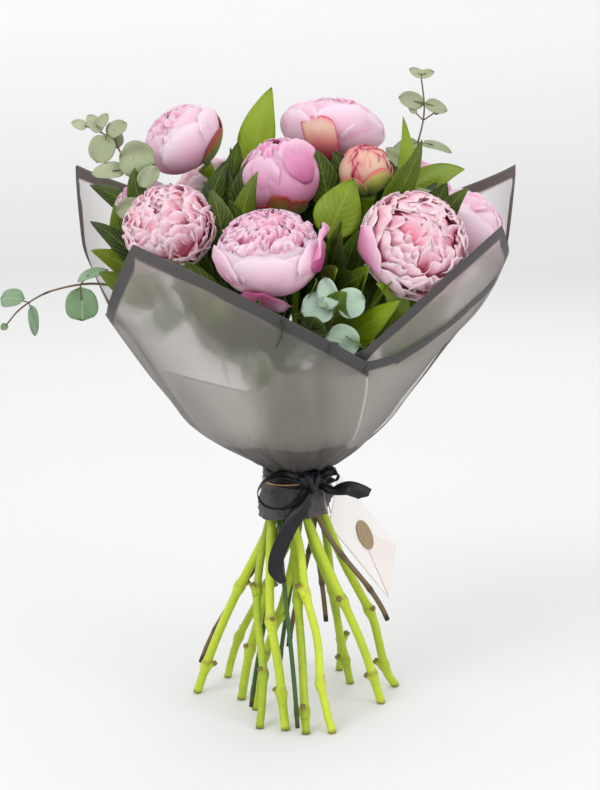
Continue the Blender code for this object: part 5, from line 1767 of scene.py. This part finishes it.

# Further leaves at the edge of the bunch, where its outline shows them; most get low tones, which paint them
# dark with shade.
EXTRA_LEAVES = (
    Leaf((0.030, 0.010, 0.405), (0.026, 0.004, 0.450), (0.016, -0.002, 0.484), 0.030, 0.15),
    Leaf((0.040, 0.016, 0.410), (0.046, 0.008, 0.455), (0.030, 0.002, 0.483), 0.030, 0.05),
    Leaf((0.060, 0.030, 0.410), (0.074, 0.016, 0.450), (0.062, 0.010, 0.484), 0.026, 0.2),
    Leaf((0.066, 0.000, 0.415), (0.086, -0.006, 0.450), (0.094, -0.012, 0.476), 0.024, 0.4),
    Leaf((-0.040, 0.010, 0.400), (-0.052, 0.000, 0.440), (-0.038, -0.006, 0.478), 0.026, 0.1),
    Leaf((-0.130, 0.000, 0.360), (-0.150, -0.010, 0.400), (-0.152, -0.020, 0.440), 0.022, 0.45),
    Leaf((-0.070, 0.010, 0.385), (-0.086, 0.005, 0.430), (-0.058, 0.000, 0.476), 0.026, 0.1),
    Leaf((-0.050, 0.020, 0.400), (-0.060, 0.025, 0.445), (-0.050, 0.015, 0.490), 0.026, 0.2),
    Leaf((-0.100, -0.010, 0.380), (-0.140, -0.005, 0.440), (-0.135, -0.015, 0.470), 0.022, 0.2),
    Leaf((-0.090, 0.040, 0.380), (-0.140, 0.040, 0.440), (-0.178, 0.030, 0.452), 0.024, 0.1),
    Leaf((-0.100, -0.015, 0.355), (-0.140, -0.030, 0.410), (-0.170, -0.040, 0.428), 0.020, 0.05),
    Leaf((-0.105, -0.030, 0.345), (-0.140, -0.045, 0.375), (-0.162, -0.055, 0.388), 0.022, 0.35),
    Leaf((0.010, 0.030, 0.400), (0.020, 0.022, 0.440), (0.012, 0.015, 0.472), 0.034, 0.1),
    Leaf((0.040, 0.028, 0.400), (0.046, 0.030, 0.440), (0.030, 0.030, 0.470), 0.034, 0.2),
    Leaf((0.070, 0.040, 0.400), (0.088, 0.040, 0.440), (0.072, 0.036, 0.478), 0.030, 0.15),
    Leaf((-0.045, -0.060, 0.330), (-0.066, -0.100, 0.370), (-0.056, -0.112, 0.378), 0.018, 0.75),
    Leaf((-0.020, -0.060, 0.330), (-0.028, -0.100, 0.356), (-0.006, -0.118, 0.350), 0.026, 0.1),
    Leaf((0.070, -0.060, 0.340), (0.095, -0.085, 0.370), (0.062, -0.105, 0.385), 0.022, 0.6),
    Leaf((0.100, 0.000, 0.390), (0.112, -0.016, 0.436), (0.124, -0.020, 0.458), 0.024, 0.1),
    Leaf((-0.060, -0.030, 0.370), (-0.058, -0.050, 0.420), (-0.070, -0.050, 0.455), 0.028, 0.15),
)

STRING_RIM = 0.0294

FILM_PIECES = (
    FilmPiece("wrap_back", (
        FilmSheet(((-12, 0.380), (0, 0.402), (9, 0.470), (40, 0.440), (90, 0.410), (140, 0.440), (171, 0.470),
                   (180, 0.405), (190, 0.362), (200, 0.345)), 0, 11, borders=(True, True, True)),),
        "film_back", (0.60, 0.42), 0.130),
    FilmPiece("wrap_right", (
        FilmSheet(((-152, 0.309), (-112, 0.300), (-64, 0.334), (-18, 0.427), (2, 0.398), (30, 0.350)), 1, 12,
                  fade=(-80.0, -66.0)),
        FilmSheet(((-100, 0.318), (-64, 0.325), (-47, 0.3304), (-39, 0.341), (-31, 0.355), (-22, 0.370),
                   (-10, 0.381), (5, 0.385), (30, 0.360)), 1.5, 14, fade=(-76.0, -62.0), straight=False)),
        "film_front", (0.46, 0.40), 0.105),
    FilmPiece("wrap_left", (
        FilmSheet(((160, 0.330), (188, 0.352), (220, 0.418), (298.5, 0.3255)), 2.1, 13, 14.0,
                  (False, True, False)),),
        "film_front", (0.46, 0.40), 0.060, True),
)

RIBBON_STRIPS = (
    Strip("ribbon_loop_left",
          ((0.0036, -0.0345, 0.2070), (-0.0120, -0.0385, 0.2135), (-0.0265, -0.0375, 0.2085),
           (-0.0335, -0.0365, 0.1975), (-0.0290, -0.0365, 0.1880), (-0.0160, -0.0385, 0.1845),
           (-0.0030, -0.0375, 0.1905), (0.0050, -0.0350, 0.1995)),
          ((0.0, 0.3, 1.0), (0.1, 0.9, 0.5), (0.0, 1.0, 0.1), (0.0, 1.0, 0.0), (0.0, 1.0, -0.1),
           (0.1, 0.9, -0.3), (0.0, 0.8, -0.6), (0.0, 0.4, -1.0))),
    Strip("ribbon_loop_right",
          ((0.0188, -0.0291, 0.2099), (0.0260, -0.0330, 0.2160), (0.0335, -0.0300, 0.2150),
           (0.0330, -0.0270, 0.2070), (0.0240, -0.0290, 0.2040)),
          ((0.0, 0.1, 1.0), (-0.3, 0.4, 0.9), (-0.2, 0.9, 0.2), (0.0, 0.9, -0.2), (0.0, 0.5, -0.8))),
    Strip("ribbon_tail_right",
          ((0.0188, -0.0296, 0.2029), (0.0300, -0.0345, 0.2000), (0.0430, -0.0335, 0.2010),
           (0.0530, -0.0310, 0.1975), (0.0600, -0.0290, 0.1930)),
          ((0.0, 0.2, 1.0), (0.0, 0.9, 0.5), (0.0, 0.7, 0.7), (0.2, 0.2, 1.0), (0.5, 0.1, 1.0)), 0.5),
    Strip("ribbon_tail_long",
          ((0.0110, -0.0325, 0.1987), (0.0040, -0.0385, 0.1870), (-0.0070, -0.0440, 0.1690),
           (-0.0165, -0.0490, 0.1480), (-0.0185, -0.0510, 0.1330), (-0.0150, -0.0515, 0.1220)),
          ((1.0, 0.1, 0.2), (1.0, 0.1, 0.4), (1.0, 0.2, 0.4), (1.0, 0.2, 0.1), (1.0, 0.3, -0.1),
           (1.0, 0.2, -0.3)), 0.9),
)


class Studio:
    """The pale floor with its rising back, soft lights and the camera."""

    DISTANCE = 1.6
    ELEVATION = 11.0
    TARGET = (0.002, 0.0, 0.275)

    def build(self) -> None:
        """Set the stage."""
        self.floor()
        self.lights()
        self.camera()

    def floor(self) -> None:
        """A wide floor that bends up into a backdrop, with painted light: darker low on the floor, lighter up
        the backdrop and a little darker towards the right.
        """
        floor = primitive(bpy.ops.mesh.primitive_grid_add, "studio_floor", x_subdivisions=8,
                          y_subdivisions=60, size=1.0)
        for vertex in floor.data.vertices:
            along = (vertex.co.y + 0.5) * 9.0 - 4.0
            bend = min(max(along - 3.0, 0.0), 1.6)
            angle = bend / 1.6 * math.pi / 2
            rise = max(along - 4.6, 0.0)
            y = min(along, 3.0) + 1.02 * math.sin(angle)
            vertex.co = Vector((vertex.co.x * 12.0, y, -0.0003 + 1.02 * (1 - math.cos(angle)) + rise))
        s = Shader("studio_white")
        grain = s.noise(s.place(), 3.0, 2.0)
        sideways, _, up = s.coordinates()
        height = s.math("MULTIPLY", up, 1.6, clamp=True)
        right = s.math("ADD", 0.5, s.math("MULTIPLY", sideways, 0.35), clamp=True)
        # Painted light: darker low on the floor, lighter up the backdrop.
        colour = s.mix(height, (0.725, 0.725, 0.727), (0.932, 0.932, 0.934))
        # Painted shade: a little darker towards the right, away from the key light.
        colour = s.mix(s.math("MULTIPLY", right, 0.14), colour, (0.52, 0.52, 0.52))
        colour = s.mix(s.math("MULTIPLY", grain, 0.06), colour, (0.72, 0.72, 0.73))
        floor.data.materials.append(s.finish(s.principled(colour, 0.9).outputs[0]))
        bpy.ops.object.shade_smooth()

    def lights(self) -> None:
        """A bright even room, with a large soft key from the upper left and a fill from the right."""
        world = bpy.data.worlds.new("studio_world")
        world.use_nodes = True
        world.node_tree.nodes["Background"].inputs["Color"].default_value = (0.998, 0.998, 1.0, 1.0)
        world.node_tree.nodes["Background"].inputs["Strength"].default_value = 1.03
        bpy.context.scene.world = world
        self.area("key_light", (-1.3, -1.6, 2.1), 1.4, 27.0)
        self.area("fill_light", (1.7, -1.4, 1.2), 1.4, 12.0)
        self.area("back_light", (0.5, 1.8, 2.0), 1.6, 9.0)

    def area(self, name: str, place: Point, size: float, power: float) -> None:
        """One soft light that looks at the bunch."""
        light = bpy.data.lights.new(name, "AREA")
        light.size = size
        light.energy = power
        lamp = bpy.data.objects.new(name, light)
        lamp.location = place
        lamp.rotation_euler = (Vector(place) - Vector((0, 0, 0.3))).to_track_quat("Z", "Y").to_euler()
        bpy.context.scene.collection.objects.link(lamp)

    def camera(self) -> None:
        """The camera, a little above the bunch and straight in front of it."""
        lens = bpy.data.cameras.new("camera")
        lens.lens = 85.0
        lens.sensor_width = 36.0
        camera = bpy.data.objects.new("camera", lens)
        tilt = math.radians(self.ELEVATION)
        target = Vector(self.TARGET) + Vector(AXIS)
        camera.location = target + Vector((0, -math.cos(tilt), math.sin(tilt))) * self.DISTANCE
        camera.rotation_euler = (math.pi / 2 - tilt, 0, 0)
        bpy.context.scene.collection.objects.link(camera)
        bpy.context.scene.camera = camera
        bpy.context.scene.view_settings.view_transform = "Standard"


def main() -> None:
    """Build every piece in order."""
    logging.basicConfig(level=logging.INFO, format="%(message)s")
    Studio().build()
    bunch = Bunch()
    bunch.blooms()
    bunch.stems()
    bunch.sprigs()
    bunch.leaves()
    bunch.film()
    bunch.tie()


if __name__ == "__main__":
    main()
